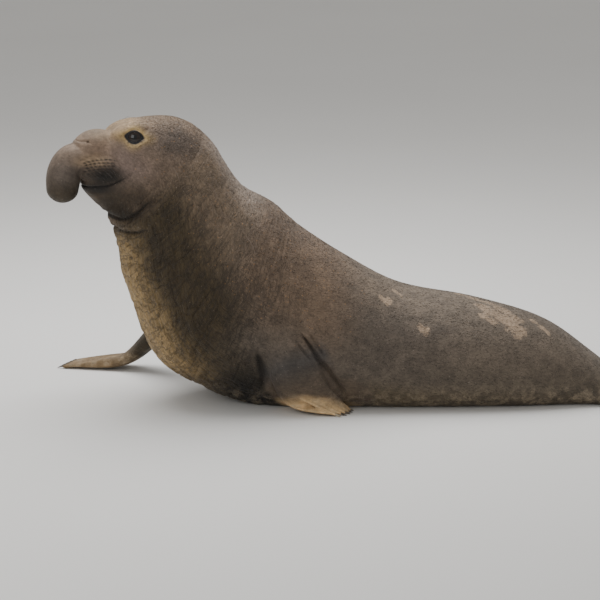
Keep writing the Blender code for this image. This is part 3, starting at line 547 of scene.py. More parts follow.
def relaxed(points, pairs, weight, rounds):
    """Moves each point towards the mean of its neighbours, by its own weight, round after round."""
    count = len(points)
    degree = np.bincount(pairs.ravel(), minlength=count).clip(1)[:, None]
    for _ in range(rounds):
        total = np.stack(
            [
                np.bincount(pairs[:, 0], points[pairs[:, 1], k], count)
                + np.bincount(pairs[:, 1], points[pairs[:, 0], k], count)
                for k in range(3)
            ],
            axis=1,
        )
        points = points + weight[:, None] * (total / degree - points)
    return points


def noise(points, cell, seed=0):
    """Smooth noise from -1 to 1: a random number at each corner of a lattice of cells, blended by smooth steps."""
    scaled = np.asarray(points, float) / cell
    corner = np.floor(scaled).astype(np.int64)
    share = scaled - corner
    share = share * share * (3 - 2 * share)
    total = np.zeros(len(scaled))
    for offset in np.ndindex(2, 2, 2):
        at = corner + offset
        mixed = at[:, 0] * 73856093 ^ at[:, 1] * 19349663 ^ at[:, 2] * 83492791 ^ (seed + 1) * 2654435761
        mixed = (mixed ^ (mixed >> 13)) * 1274126177
        mixed = (mixed ^ (mixed >> 16)) & 0xFFFF
        weight = np.prod(np.where(np.array(offset) == 1, share, 1 - share), axis=1)
        total += weight * (mixed / 32767.5 - 1)
    return total


def clouds(points, cell, octaves=3, seed=0):
    """Noise with finer noise on it, each octave half as wide and half as strong."""
    total = sum(noise(points, cell / 2**i, seed + i) / 2**i for i in range(octaves))
    return total / sum(1 / 2**i for i in range(octaves))


def near_line(flat, line, samples=50):
    """For points in the (s, z) plane, the distance from a smooth line, positive above it, and the share of the line
    that is nearest."""
    places = distances(line)
    share = np.linspace(0, 1, samples)
    smooth = spline(places, line, share * places[-1])
    nearest = np.full(len(flat), np.inf)
    where = np.zeros(len(flat))
    above = np.zeros(len(flat))
    for a, b, u, w in zip(smooth, smooth[1:], share, share[1:]):
        way = b - a
        offset = flat - a
        t = np.clip((offset @ way) / (way @ way), 0, 1)
        gap = np.linalg.norm(offset - t[:, None] * way, axis=1)
        closer = gap < nearest
        nearest[closer] = gap[closer]
        where[closer] = (u + t * (w - u))[closer]
        above[closer] = np.sign(way[0] * offset[closer, 1] - way[1] * offset[closer, 0])
    return nearest * above, where


def trunk_coordinates(points):
    """Where points of the straight plane lie on the trunk: the place along it of the cross-section that each one
    lies in, found by halving, and how far up from the belly, as a share."""
    table = np.linspace(0, TRUNK_LENGTH, 600)
    back = spline(STATION_PLACES, BACKS, table)
    belly = spline(STATION_PLACES, BELLIES, table)
    low = np.zeros(len(points))
    high = np.full(len(points), TRUNK_LENGTH)
    for _ in range(14):
        middle = (low + high) / 2
        b = np.stack([np.interp(middle, table, belly[:, k]) for k in (0, 1)], axis=1)
        rise = np.stack([np.interp(middle, table, back[:, k]) for k in (0, 1)], axis=1) - b
        ahead = rise[:, 0] * (points[:, 2] - b[:, 1]) - rise[:, 1] * (points[:, 0] - b[:, 0]) > 0
        low = np.where(ahead, middle, low)
        high = np.where(ahead, high, middle)
    up = ((points[:, [0, 2]] - b) * rise).sum(axis=1) / (rise**2).sum(axis=1)
    return (low + high) / 2, up


def toe_lines(knots, toes):
    """The middle line of each toe of a flipper, with the direction its claw points in."""
    middles, halves, alongs, sides = frames(knots, (toes.root_share, 1.0))
    lines = []
    for i, reach in enumerate(toes.reach):
        across = (i / 2 - 1) * toes.fan
        root = middles[0] + sides[0] * halves[0, 0] * across * 0.80
        tip = middles[1] + sides[1] * halves[1, 0] * across + alongs[1] * reach
        tip[2] = max(tip[2], toes.depth_tip * 0.75)
        middle = (root + tip) / 2 + (0, 0, 0.003)
        widths = np.linspace(toes.width_root, toes.width_tip, 3)
        depths = np.linspace(toes.depth_root, toes.depth_tip, 3)
        line = [Knot(p, w, d, sides[0]) for p, w, d in zip((root, middle, tip), widths, depths)]
        lines.append((line, (tip - middle) / np.linalg.norm(tip - middle), sides[1]))
    return lines


def limb_clay(knots, toes, mapping):
    """A limb with its palm and toes, as closed surfaces that overlap."""
    shape, tips = rounded(tube_rings(knots, 60, 56, grow=-COAT), 0.0, knots[-1].half_depth)
    parts = [closed(mapping(shape), mapping(np.array(tips)))]
    for line, _, _ in toe_lines(knots, toes):
        rings, ends = rounded(tube_rings(line, 24, 28, grow=-COAT), 0.0, toes.width_tip * 0.8)
        parts.append(closed(mapping(rings), mapping(np.array(ends))))
    return parts


def clay():
    """All forms of the body as closed surfaces that overlap, on the straight plane."""
    rings = trunk_rings(np.linspace(0, TRUNK_LENGTH, 300), 180, -COAT)
    parts = [closed(*rounded(rings, 0.004, 0.020))]
    for form in HEAD_FORMS:
        parts += [closed(*egg_rings(one, grow=-COAT)) for one in both_sides(form)]
    for side in (-1, 1):
        orbit = Form("orbit", (EYE[0], side * EYE[1], EYE[2]), (EYE_RADIUS + 0.001,) * 3, 0.0, 0.0, 0)
        parts.append(closed(*egg_rings(orbit)))
    for knots, ends in ((BULGE, BULGE_ENDS), (LOBE, LOBE_ENDS)):
        parts.append(closed(*rounded(tube_rings(knots, 50, 72, grow=-COAT), *ends)))
    parts += limb_clay(LEFT_ARM, LEFT_TOES, straight)
    parts += limb_clay(RIGHT_ARM, RIGHT_TOES, straight)
    for side in (-1, 1):
        parts += limb_clay(HIND_FLIPPER, HIND_TOES, lambda p, side=side: np.asarray(p) * (1, side, 1))
    parts.append(closed(*rounded(tube_rings(TAIL, 20, 32, grow=-COAT), 0.0, 0.016)))
    return joined(parts)


# Where the clay's forms are rubbed together: a place, how far round it, and how strongly.
Rub = namedtuple("Rub", "middle reach strength")
RUBS = (
    Rub((-0.945, 0.0, 1.370), 0.13, 1.0),
    Rub((-0.960, 0.09, 1.320), 0.13, 1.0),
    Rub((-0.960, -0.09, 1.320), 0.13, 1.0),
    Rub((-0.880, 0.08, 1.400), 0.10, 1.0),
    Rub((-0.880, -0.08, 1.400), 0.10, 1.0),
    Rub((-0.930, 0.12, 1.210), 0.10, 0.9),
    Rub((-0.930, -0.12, 1.210), 0.10, 0.9),
    Rub((-1.070, 0.09, 1.300), 0.07, 1.0),
    Rub((-1.070, -0.09, 1.300), 0.07, 1.0),
    Rub((-1.060, 0.10, 1.240), 0.055, 1.0),
    Rub((-1.060, -0.10, 1.240), 0.055, 1.0),
    Rub((-1.000, 0.0, 1.050), 0.10, 0.9),
    Rub((1.620, 0.11, 0.080), 0.18, 1.0),
    Rub((1.620, -0.11, 0.080), 0.18, 1.0),
)
LIMB_RUBS = (
    Rub((-0.030, -0.400, 0.420), 0.21, 0.9),
    Rub((-0.600, 0.390, 0.300), 0.22, 1.0),
)
GRAINLESS_ROOT = 0.20  # how much nearer to an arm's root its grain stops than its colour starts
RUB_ROUNDS = 40
RUB_IN, RUB_OUT = 0.62, -0.64  # each round smooths and then swells, so that the form keeps its size


def rubbed(points, pairs):
    """Smooths the clay: a little everywhere, and where forms meet until their creases are gone."""
    points = relaxed(points, pairs, np.full(len(points), 0.5), 5)
    weight = np.zeros(len(points))
    spots = list(RUBS) + [rub._replace(middle=tuple(straight(np.array(rub.middle)))) for rub in LIMB_RUBS]
    for rub in spots:
        away = np.linalg.norm(points - np.array(rub.middle), axis=1)
        weight = np.maximum(weight, rub.strength * (1 - smoother(rub.reach * 0.6, rub.reach, away)))
    chosen = (weight > 0)[pairs].any(axis=1)
    used, local = np.unique(pairs[chosen], return_inverse=True)
    local = local.reshape(-1, 2)
    part, weight = points[used], weight[used]
    for _ in range(RUB_ROUNDS):
        part = relaxed(part, local, weight * RUB_IN, 1)
        part = relaxed(part, local, weight * RUB_OUT, 1)
    part = relaxed(part, local, weight * 0.5, 8)
    points[used] = part
    return points


def fold_depth(points, folds):
    """How far folds press the points in. Across a fold the depth falls off as a bell curve, and a wider, lower bell
    of swollen flesh lies above it."""
    depth = np.zeros(len(points))
    for fold in folds:
        margin = fold.radius * 10
        low, high = np.min(fold.line, axis=0) - margin, np.max(fold.line, axis=0) + margin
        flat = points[:, [0, 2]]
        close = ((flat > low) & (flat < high)).all(axis=1)
        if fold.side:
            close &= points[:, 1] * fold.side > 0
        gap, share = near_line(flat[close], fold.line)
        fade = smoother(0, max(fold.fade_in, 1e-6), share) * (1 - smoother(1 - fold.fade_out, 1, share))
        press = fold.deep * np.exp(-((gap / fold.radius) ** 2))
        swell = fold.swell * np.exp(-(((gap - fold.radius * 3.4) / (fold.radius * 2.4)) ** 2))
        depth[close] += fade * (press - swell)
    return depth


def dent_depth(points, dent, side=0):
    """How far a small dent presses the points in: an ellipsoid's bell curve, on one side or mirrored to both."""
    offset = points - np.array(dent.middle)
    if not side:
        offset[:, 1] = np.abs(points[:, 1]) - abs(dent.middle[1])
    return dent.deep * np.exp(-((offset / np.array(dent.half)) ** 2).sum(axis=1))


def lie_coordinates(points):
    """Each point's place along the trunk, its distance from the middle plane and its height above the belly's
    line: noise in these runs with the body, and has no seam."""
    place, up = trunk_coordinates(points)
    table = np.linspace(0, TRUNK_LENGTH, 200)
    depths = np.linalg.norm(spline(STATION_PLACES, BACKS, table) - spline(STATION_PLACES, BELLIES, table), axis=1)
    return np.stack([place, points[:, 1], up * np.interp(place, table, depths)], axis=1), up


def between(start, end, place, soft=0.06):
    """1 between two stations of the trunk, easing to 0 outside them."""
    low, high = place_of(start), place_of(end)
    return smoother(low - soft, low + soft, place) * (1 - smoother(high - soft, high + soft, place))


def carved(points, outward):
    """Presses the broad folds into the clay, with the rugged grain of the neck and the chest, which runs along the
    body, and slow swellings of the flesh."""
    lie, up = lie_coordinates(points)
    place = lie[:, 0]
    depth = fold_depth(points, BROAD_FOLDS) + dent_depth(points, CHEST_PIT, -1)
    limbs = np.max([mask for mask, _, _ in flipper_masks(points, GRAINLESS_ROOT)], axis=0)
    zone = between("shoulder", "nape", place, 0.15) * (1 - limbs)
    front = 1 - smoother(0.15, 0.7, up)
    warp = 0.012 * clouds(points, 0.15, 2, 5)[:, None]
    grain = np.abs(noise(lie * (0.30, 1, 1) + warp, 0.026, 11))
    depth += zone * (0.45 + front) * 0.0028 * (1 - smoother(0.0, 0.45, grain))
    fine = np.abs(noise(lie * (0.45, 1, 1) - warp, 0.013, 12))
    depth += zone * (0.5 + front) * 0.0015 * (1 - smoother(0.0, 0.5, fine))
    lumps = clouds(lie, 0.055, 2, 14)
    depth += zone * (0.3 + front) * 0.0035 * lumps
    across = np.abs(noise(lie * (1, 0.25, 0.25) + warp, 0.042, 15))
    depth += zone * (0.3 + 0.7 * front) * 0.0050 * (1 - smoother(0.0, 0.30, across))
    body = (1 - smoother(place_of("chest"), place_of("neck"), place)) * (1 - limbs)
    depth += body * 0.0040 * clouds(lie * (0.6, 1, 1), 0.24, 2, 17)
    return points - outward * depth[:, None]


def finely_carved(points, outward):
    """Presses the mouth, the groove and the pits of the nose, the nostrils and the brow's wrinkles into the fine
    part of the skin, and swells the whisker pads out inside a shallow groove."""
    depth = fold_depth(points, FINE_FOLDS)
    for dent in DENTS:
        depth += dent_depth(points, dent)
    edge = pad_shares(points)
    side = smoother(0.020, 0.060, np.abs(points[:, 1]))
    below = smoother(-0.9, -0.5, pad_rise(points))
    depth -= side * PAD_SWELL * (1 - smoother(0.55, 1.0, edge))
    depth += side * below * PAD_GROOVE * np.exp(-(((edge - 1.10) / 0.10) ** 2))
    depth += 0.0022 * whisker_dots(points)
    return points - outward * depth[:, None]


def pad_rise(points):
    """How far up the whisker pad's ellipse a point lies, from -1 at its lowest to 1 at its top."""
    turn = np.radians(PAD_TILT)
    s, z = points[:, 0] - PAD_MIDDLE[0], points[:, 2] - PAD_MIDDLE[1]
    return (z * np.cos(turn) - s * np.sin(turn)) / PAD_HALF[1]


def pad_shares(points):
    """How far out on the whisker pad's ellipse a point lies: 0 at its middle and 1 on its edge."""
    turn = np.radians(PAD_TILT)
    s, z = points[:, 0] - PAD_MIDDLE[0], points[:, 2] - PAD_MIDDLE[1]
    return np.hypot((s * np.cos(turn) + z * np.sin(turn)) / PAD_HALF[0], pad_rise(points))


def whisker_roots():
    """The places of the whiskers on a pad, as (s, z): rows that rise towards the rear and close up towards the
    nose."""
    rows, columns = np.meshgrid(np.arange(WHISKER_ROWS), np.arange(WHISKERS_IN_ROW), indexing="ij")
    along = -0.62 + 1.30 * columns / (WHISKERS_IN_ROW - 1) + 0.07 * np.sin(rows * 2.3)
    rise = -0.52 + 1.22 * rows / (WHISKER_ROWS - 1)
    along, rise = along.ravel(), rise.ravel() - 0.18 * along.ravel() ** 2
    kept = np.hypot(along, rise) < 0.92
    along, rise = along[kept] * PAD_HALF[0], rise[kept] * PAD_HALF[1]
    turn = np.radians(PAD_TILT)
    return np.stack(
        [
            PAD_MIDDLE[0] + along * np.cos(turn) - rise * np.sin(turn),
            PAD_MIDDLE[1] + along * np.sin(turn) + rise * np.cos(turn),
        ],
        axis=1,
    )


def whisker_dots(points):
    """1 at each whisker's root, falling off within a few millimetres, longer along the row than across it."""
    dots = np.zeros(len(points))
    near = (pad_shares(points) < 1.1) & (np.abs(points[:, 1]) > 0.03)
    flat = points[near][:, [0, 2]]
    for root in whisker_roots():
        gap = (flat - root) / (0.0078, 0.0042)
        dots[near] = np.maximum(dots[near], np.exp(-(gap**2).sum(axis=1)))
    return dots


def eye_axes(side):
    """The way an eye looks, and the directions along and up its opening."""
    outward = np.array(EYE_OUTWARD) * (1, side, 1)
    outward /= np.linalg.norm(outward)
    along = np.array([1.0, 0, -0.16])
    along -= outward * (along @ outward)
    along /= np.linalg.norm(along)
    up = np.cross(outward, along) * -side
    return outward, along, up


def thinned(made, inside, share):
    """Collapses the triangles of one region of a mesh down to a share of them, and leaves the rest as they are."""
    group = made.vertex_groups.new(name="thin")
    group.add(np.nonzero(inside)[0].tolist(), 1.0, "REPLACE")
    group.add(np.nonzero(~inside)[0].tolist(), 0.0, "REPLACE")
    faces = triangles(made.data)
    region = inside[faces].all(axis=1).sum() / len(faces)
    modifier = made.modifiers.new("thin", "DECIMATE")
    modifier.ratio = 1 - region * (1 - share)
    modifier.vertex_group = "thin"
    modifier.vertex_group_factor = 1.0
    evaluate(made)
    made.vertex_groups.clear()


def evaluate(made):
    """Applies an object's modifiers to its mesh."""
    graph = bpy.context.evaluated_depsgraph_get()
    mesh = bpy.data.meshes.new_from_object(made.evaluated_get(graph))
    made.modifiers.clear()
    made.data = mesh


def split_edges(points, faces, chosen):
    """Splits each chosen triangle into four. A neighbour that shares a split edge is split into two or three, so
    that the surface stays closed. Returns the points, the triangles and the pair of points each new one is between."""
    edges = np.sort(np.stack([faces, np.roll(faces, -1, axis=1)], axis=-1), axis=-1)
    keys = edges[..., 0].astype(np.int64) * len(points) + edges[..., 1]
    wanted = np.unique(keys[chosen])
    place = np.searchsorted(wanted, keys).clip(0, len(wanted) - 1)
    split = wanted[place] == keys
    new = np.where(split, place + len(points), -1)
    ends = np.stack([wanted // len(points), wanted % len(points)], axis=1)
    points = np.concatenate([points, points[ends].mean(axis=1)])
    count = split.sum(axis=1)
    made = [faces[count == 0]]
    whole = count == 3
    a, b, c = faces[whole].T
    ab, bc, ca = new[whole].T
    made += [np.stack(t, axis=1) for t in ((a, ab, ca), (ab, b, bc), (ca, bc, c), (ab, bc, ca))]
    for turn in range(3):
        a, b, c = np.roll(faces, -turn, axis=1).T
        ab, bc, ca = np.roll(new, -turn, axis=1).T
        single = (count == 1) & (ab >= 0)
        made += [np.stack([t[single] for t in f], axis=1) for f in ((a, ab, c), (ab, b, c))]
        double = (count == 2) & (ca < 0)
        made += [np.stack([t[double] for t in f], axis=1) for f in ((a, ab, bc), (ab, b, bc), (a, bc, c))]
    return points, np.concatenate(made), ends


def triangles(mesh):
    """A mesh's triangles."""
    mesh.calc_loop_triangles()
    found = np.empty(len(mesh.loop_triangles) * 3, np.int32)
    mesh.loop_triangles.foreach_get("vertices", found)
    return found.reshape(-1, 3)


def rebuilt(made, points, faces):
    """Gives an object a new mesh."""
    old = made.data
    fresh = build("fresh", points, faces, old.materials[0])
    made.data = fresh.data
    bpy.data.objects.remove(fresh)
    bpy.data.meshes.remove(old)


def eye_shares(points, side):
    """For points near one eye: how far out on the opening's outline each lies, 1 on its edge, and how far up."""
    middle = np.array(EYE) * (1, side, 1)
    outward, along, up = eye_axes(side)
    from_eye = points - middle
    across = from_eye @ along / EYE_OPENING[0]
    rise = from_eye @ up / EYE_OPENING[1]
    corner = 1 - EYE_CORNER * np.clip(np.abs(across), 0, 1.2) ** 2
    share = np.hypot(across, rise / corner)
    near = (np.linalg.norm(from_eye, axis=1) < EYE_RADIUS * 2.6) & (from_eye @ outward > 0)
    return np.where(near, share, 9.0), rise


def lids(points):
    """Opens the lids over each eyeball. Inside the opening the skin goes behind the ball, at its edge it stands a
    lid's thickness proud of the ball, and further out it eases back into the face."""
    for side in (-1, 1):
        middle = np.array(EYE) * (1, side, 1)
        share, rise = eye_shares(points, side)
        near = share < 2.2
        e, rise = share[near], rise[near]
        v = points[near] - middle
        r = np.linalg.norm(v, axis=1)
        behind = EYE_RADIUS - 0.007
        rim = EYE_RADIUS + 0.0032
        lid = behind + (rim - behind) * smoother(0.91, 1.0, e)
        lid += 0.0018 * np.exp(-(((e - 1.12) / 0.08) ** 2))
        lid -= 0.0022 * np.exp(-(((e - 1.36) / 0.07) ** 2)) * smoother(-0.2, 0.5, rise)
        lid -= 0.0012 * np.exp(-(((e - 1.44) / 0.08) ** 2)) * smoother(0.2, -0.5, rise)
        eased = lid + (np.maximum(r, lid) - lid) * smoother(1.18, 1.75, e)
        points[near] = middle + v / r[:, None] * eased[:, None]
    return points


def limb_shares(points, knots, samples=60):
    """How far along a flipper's middle line the nearest place to each point lies, as a share, how far away that
    is, and the direction of the line there. Points that are far from the flipper get 0 and a great distance."""
    middle, _, along, _ = frames(knots, np.linspace(0, 1, samples))
    close = ((points > middle.min(axis=0) - 0.25) & (points < middle.max(axis=0) + 0.25)).all(axis=1)
    part = points[close]
    best = np.full(len(part), np.inf)
    index = np.zeros(len(part), int)
    for i, place in enumerate(middle):
        gap = ((part - place) ** 2).sum(axis=1)
        closer = gap < best
        best[closer] = gap[closer]
        index[closer] = i
    share = np.zeros(len(points))
    away = np.full(len(points), 9.0)
    ahead = np.tile(along[0], (len(points), 1))
    share[close] = index / (samples - 1)
    away[close] = np.sqrt(best)
    ahead[close] = along[index]
    return share, away, ahead


def flipper_masks(points, sooner=0.0):
    """For each flipper, how surely each point of the straight plane belongs to it, and its share along it. Each
    mask may start sooner, nearer to the flipper's root."""
    bent = posed(points)
    masks = []
    for knots, where, start in ((LEFT_ARM, bent, 0.28 - sooner), (RIGHT_ARM, bent, 0.22 - sooner)):
        share, away, along = limb_shares(where, knots)
        mask = smoother(start, start + 0.15, share) * (1 - smoother(0.16, 0.20, away))
        masks.append((mask, share, along))
    for side in (-1, 1):
        share, away, along = limb_shares(points * (1, side, 1), HIND_FLIPPER)
        mask = smoother(0.10, 0.35, share) * (1 - smoother(0.20, 0.24, away))
        masks.append((mask, share, along * (1, side, 1)))
    return masks


def blended(colour, other, share):
    """One colour passing into another."""
    return colour + (np.array(other) - colour) * np.clip(share, 0, 1)[:, None]


def tints(points):
    """The coat's colour at points of the straight plane, from its own markings: the back, the flanks, the shield
    of the chest, the face and the flippers, with painted light and painted shade laid over them where noted. Their
    edges wander with noise."""
    wander = 0.035 * clouds(points, 0.12, 3, 31)
    lie, up = lie_coordinates(points)
    place = lie[:, 0] + wander
    up = up + wander * 1.5
    colour = np.tile((0.092, 0.072, 0.055), (len(points), 1))
    colour = blended(colour, (0.140, 0.106, 0.076), smoother(0.74, 1.0, up))
    colour = blended(colour, (0.145, 0.108, 0.062), (1 - smoother(0.12, 0.38, up)) * 0.9)
    rear = 1 - smoother(place_of("loins"), place_of("waist"), place)
    colour = blended(colour, (0.118, 0.092, 0.068), rear * 0.8)
    shoulder = between("ribs", "chest", place, 0.16)
    colour = blended(colour, (0.138, 0.094, 0.062), shoulder * smoother(0.35, 0.7, up))
    neck = between("chest", "nape", place, 0.12)
    colour = blended(colour, (0.150, 0.107, 0.070), neck)
    # painted light: the top of the neck is lighter where the light from behind catches its ridge
    colour = blended(colour, (0.255, 0.198, 0.155), neck * smoother(0.86, 1.0, up) * 0.8)
    # the side of the chest's shield: its own dark olive brown, made darker still with painted shade
    shield = between("breast", "nape", place, 0.12) * (1 - smoother(0.40, 0.72, up))
    colour = blended(colour, (0.050, 0.034, 0.015), shield)
    # the front of the chest and the throat: the shield's own warm tan, made brighter with painted light from the left
    # and behind
    front = between("breast", "gullet", place, 0.08) * (1 - smoother(0.0, 0.22, up))
    colour = blended(colour, (0.395, 0.268, 0.120), front * 0.95)
    # painted shade low on the body near the ground, from the rump to the breast
    low = (1 - smoother(0.02, 0.30, points[:, 2])) * (1 - smoother(place_of("breast"), place_of("chest"), place))
    colour = blended(colour, (0.055, 0.044, 0.028), low * 0.55)
    folded = np.abs(points) * (0, 1, 0) + points * (1, 0, 1)
    head = smoother(place_of("gullet"), place_of("nape"), place)
    colour = blended(colour, (0.165, 0.116, 0.080), head * 0.85)
    for mark in HEAD_MARKS:
        away = (((folded - np.array(mark.middle)) / np.array(mark.half)) ** 2).sum(axis=1)
        colour = blended(colour, mark.colour, mark.cover * np.exp(-(away**1.5) * 0.9))
    for side in (-1, 1):
        share, _ = eye_shares(points, side)
        # a pale ring round each eye: partly a paler coat, partly painted rim light from behind. Inside it, the lids'
        # own dark skin.
        ring = np.exp(-(((share - 1.45) / 0.42) ** 2)) + 0.35 * np.exp(-(((share - 2.1) / 0.6) ** 2))
        colour = blended(colour, (0.380, 0.262, 0.115), ring * 0.80)
        colour = blended(colour, (0.010, 0.009, 0.009), 1 - smoother(1.16, 1.30, share))
    dots = whisker_dots(points) * smoother(-0.9, -0.2, pad_rise(points))
    colour = blended(colour, (0.020, 0.015, 0.012), dots * 0.95)
    # painted shade in the broad folds, darker the deeper a fold presses in
    folds = fold_depth(points, BROAD_FOLDS) / BROAD_FOLDS[0].deep
    colour = blended(colour, (0.012, 0.008, 0.004), smoother(0.10, 0.90, folds) * 0.92)
    # painted shade in the chest pit
    pit = dent_depth(points, CHEST_PIT, -1) / CHEST_PIT.deep
    colour = blended(colour, (0.030, 0.020, 0.010), smoother(0.2, 0.9, pit) * 0.85)
    # painted shade in the mouth's groove
    mouth = fold_depth(points, FINE_FOLDS[:1]) / FINE_FOLDS[0].deep
    colour = blended(colour, (0.010, 0.008, 0.007), smoother(0.1, 0.8, mouth))
    # painted shade in the nose pit and the nostrils
    for dent in DENTS[:2]:
        colour = blended(colour, (0.006, 0.005, 0.005), smoother(0.1, 0.6, dent_depth(points, dent) / dent.deep))
    (left, left_share, _), (right, right_share, _), *hind = flipper_masks(points)
    bent = posed(points)
    colour = blended(colour, (0.046, 0.041, 0.038), left * 0.95)
    colour = blended(colour, (0.088, 0.063, 0.042), left * smoother(0.38, 0.60, left_share) * 0.8)
    rim = 0.082 - 1.5 * (bent[:, 0] - 0.03) ** 2 + wander * 0.6
    golden = left * smoother(0.45, 0.60, left_share) * (1 - smoother(-0.030, 0.026, bent[:, 2] - rim))
    colour = blended(colour, (0.600, 0.410, 0.210), golden * 0.9)
    # painted shade: the far fore flipper is darker than the near one, as it lies behind the chest in shade
    colour = blended(colour, (0.022, 0.017, 0.010), right * 0.95)
    colour = blended(colour, (0.180, 0.118, 0.058), right * smoother(0.50, 0.80, right_share) * 0.9)
    for mask, share, _ in hind:
        colour = blended(colour, (0.105, 0.084, 0.062), mask * 0.9)
        colour = blended(colour, (0.160, 0.122, 0.082), mask * smoother(0.6, 1.0, share))
    # painted shade in the hollow between the chest and the near fore flipper
    beside = np.abs(bent[:, 0] + 0.28 - 0.20 * (0.30 - bent[:, 2]))
    shade_before_arm = (1 - smoother(0.03, 0.25, beside)) * (1 - smoother(0.10, 0.44, points[:, 2])) * (1 - left)
    colour = blended(colour, (0.005, 0.004, 0.003), shade_before_arm * smoother(0.0, 0.15, -points[:, 1]))
    colour *= 1 + 0.14 * clouds(points, 0.060, 3, 41)[:, None]
    return np.clip(colour, 0.004, 0.8)


def patch_gradient(points):
    """1 in the middle of the pale patch on the back where the old hair has come away, falling to 0 around it."""
    gap = np.full(len(points), np.inf)
    for line, width in (
        (((0.79, 0.03), (0.86, 0.00), (0.93, -0.02), (0.99, -0.03)), 0.026),
        (((0.92, -0.10), (0.99, -0.135), (1.045, -0.165), (1.09, -0.205)), 0.050),
        (((0.99, -0.05), (1.05, -0.09), (1.09, -0.14)), 0.036),
        (((0.90, -0.175), (0.98, -0.205)), 0.018),
        (((1.168, -0.085), (1.200, -0.105), (1.240, -0.125)), 0.020),
        (((0.600, -0.300), (0.630, -0.315)), 0.020),
        (((0.400, -0.220), (0.425, -0.235), (0.440, -0.215)), 0.018),
        (((0.470, -0.120), (0.500, -0.150)), 0.016),
    ):
        flat = points[:, :2]
        away, _ = near_line(flat, line, 16)
        gap = np.minimum(gap, np.abs(away) / width)
    return (1 - smoother(0.0, 2.2, gap)) * smoother(0.1, 0.25, points[:, 2])


def skin(hide):
    """The whole skin as one closed surface: clay joined by a voxel remesh, rubbed smooth, carved, thinned where it
    is plain, and refined round the eyes, the mouth and the nose for their fine carving."""
    points, faces = clay()
    made = build("skin", points, faces, hide)
    remesh = made.modifiers.new("remesh", "REMESH")
    remesh.mode = "VOXEL"
    remesh.voxel_size = VOXEL
    evaluate(made)
    put(made.data, rubbed(coordinates(made.data), edge_pairs(made.data)))
    put(made.data, carved(coordinates(made.data), normals(made.data)))
    for region, share in THINNING:
        points = coordinates(made.data)
        place, _ = trunk_coordinates(points)
        hands = np.max([mask * smoother(0.4, 0.6, at) for mask, at, _ in flipper_masks(points)], axis=0) > 0.5
        zones = {
            "body": (place < place_of("ribs")) & ~hands,
            "chest": (place >= place_of("ribs")) & (place < place_of("throat")) & ~hands,
            "hands": hands,
            "head": (place >= place_of("throat")) & ~hands,
        }
        thinned(made, zones[region], share)
    points, faces = coordinates(made.data), triangles(made.data)
    for level in range(2):
        centre = points[faces].mean(axis=1)
        chosen = np.zeros(len(faces), bool)
        for side in (-1, 1):
            share, _ = eye_shares(centre, side)
            chosen |= (share < (1.9, 1.5)[level]) & (share > (0.0, 0.7)[level])
        if level == 0:
            chosen |= (pad_shares(centre) < 1.2) & (np.abs(centre[:, 1]) > 0.02)
            chosen |= fold_depth(centre, FINE_FOLDS) > 0.0005
            chosen |= dent_depth(centre, DENTS[1]) > 0.001
        points, faces, _ = split_edges(points, faces, chosen)
    rebuilt(made, points, faces)
    points = lids(finely_carved(coordinates(made.data), normals(made.data)))
    put(made.data, points)
    mesh = made.data
    give_markings(mesh, points)
    final = placed(points)
    final[:, 2] = np.maximum(final[:, 2], FLOOR_CLEAR)
    put(mesh, final)
    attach(made, "root")
    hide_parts(*FLESH)
    faces = triangles(mesh)
    return points, faces, normals(mesh), BVHTree.FromPolygons(points.tolist(), faces.tolist())


def give_markings(mesh, places, repeats=1):
    """Stores the coat's colour, with its painted light and shade, and the masks of its finish at a mesh's points,
    worked out at places of the straight plane. Each place may stand for several points in turn."""
    lie, up = lie_coordinates(places)
    bare = smoother(0.1, 0.6, dent_depth(places, DENTS[1]) / DENTS[1].deep)
    for side in (-1, 1):
        bare = np.maximum(bare, 1 - smoother(1.15, 1.35, eye_shares(places, side)[0]))
    place = lie[:, 0]
    limbs = np.max([mask for mask, _, _ in flipper_masks(places, GRAINLESS_ROOT)], axis=0)
    masks = {
        "patch": patch_gradient(places),
        "rugged": between("shoulder", "nape", place, 0.16) * (1 - 0.5 * smoother(0.45, 0.9, up)) * (1 - limbs),
        "flecked": between("ribs", "occiput", place, 0.18) * smoother(0.40, 0.65, up),
        "bare": bare,
        "sandy": 1 - smoother(0.02, 0.16, places[:, 2]),
    }
    for name, values in masks.items():
        give_number(mesh, name, np.repeat(values, repeats))
    give_colour(mesh, "tint", np.repeat(tints(places), repeats, axis=0))
    give_vector(mesh, "lie", np.repeat(lie, repeats, axis=0))


def give_colour(mesh, name, values):
    """Stores a colour at each point."""
    layer = mesh.attributes.new(name, "FLOAT_COLOR", "POINT")
    layer.data.foreach_set("color", np.column_stack([values, np.ones(len(values))]).astype(np.float32).ravel())


def give_vector(mesh, name, values):
    """Stores a vector at each point."""
    mesh.attributes.new(name, "FLOAT_VECTOR", "POINT").data.foreach_set("vector", values.astype(np.float32).ravel())


def give_number(mesh, name, values):
    """Stores a number at each point."""
    mesh.attributes.new(name, "FLOAT", "POINT").data.foreach_set("value", values.astype(np.float32))


def eyeballs(wet):
    """Each eye as a fine ball, which stores how far each point is from the way it looks."""
    for side, name in ((-1, "eye_left"), (1, "eye_right")):
        ball = Form(name, tuple(np.array(EYE) * (1, side, 1)), (EYE_RADIUS - 0.0003,) * 3, 0.0, 0.0, 0)
        rings, tips = egg_rings(ball, 60, 96)
        points, faces = closed(rings, tips)
        outward, along, up = eye_axes(side)
        from_middle = (points - ball.middle) / EYE_RADIUS
        ball = build(name.replace("eye", "eyeball"), placed(points), faces, wet)
        give_number(ball.data, "out", np.arccos(np.clip(from_middle @ outward, -1, 1)))
        turn = np.arctan2(from_middle @ up, from_middle @ along)
        give_vector(ball.data, "spokes", np.stack([np.cos(turn), np.sin(turn), 0 * turn], axis=1))
        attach(ball, "root")
        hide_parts(name)


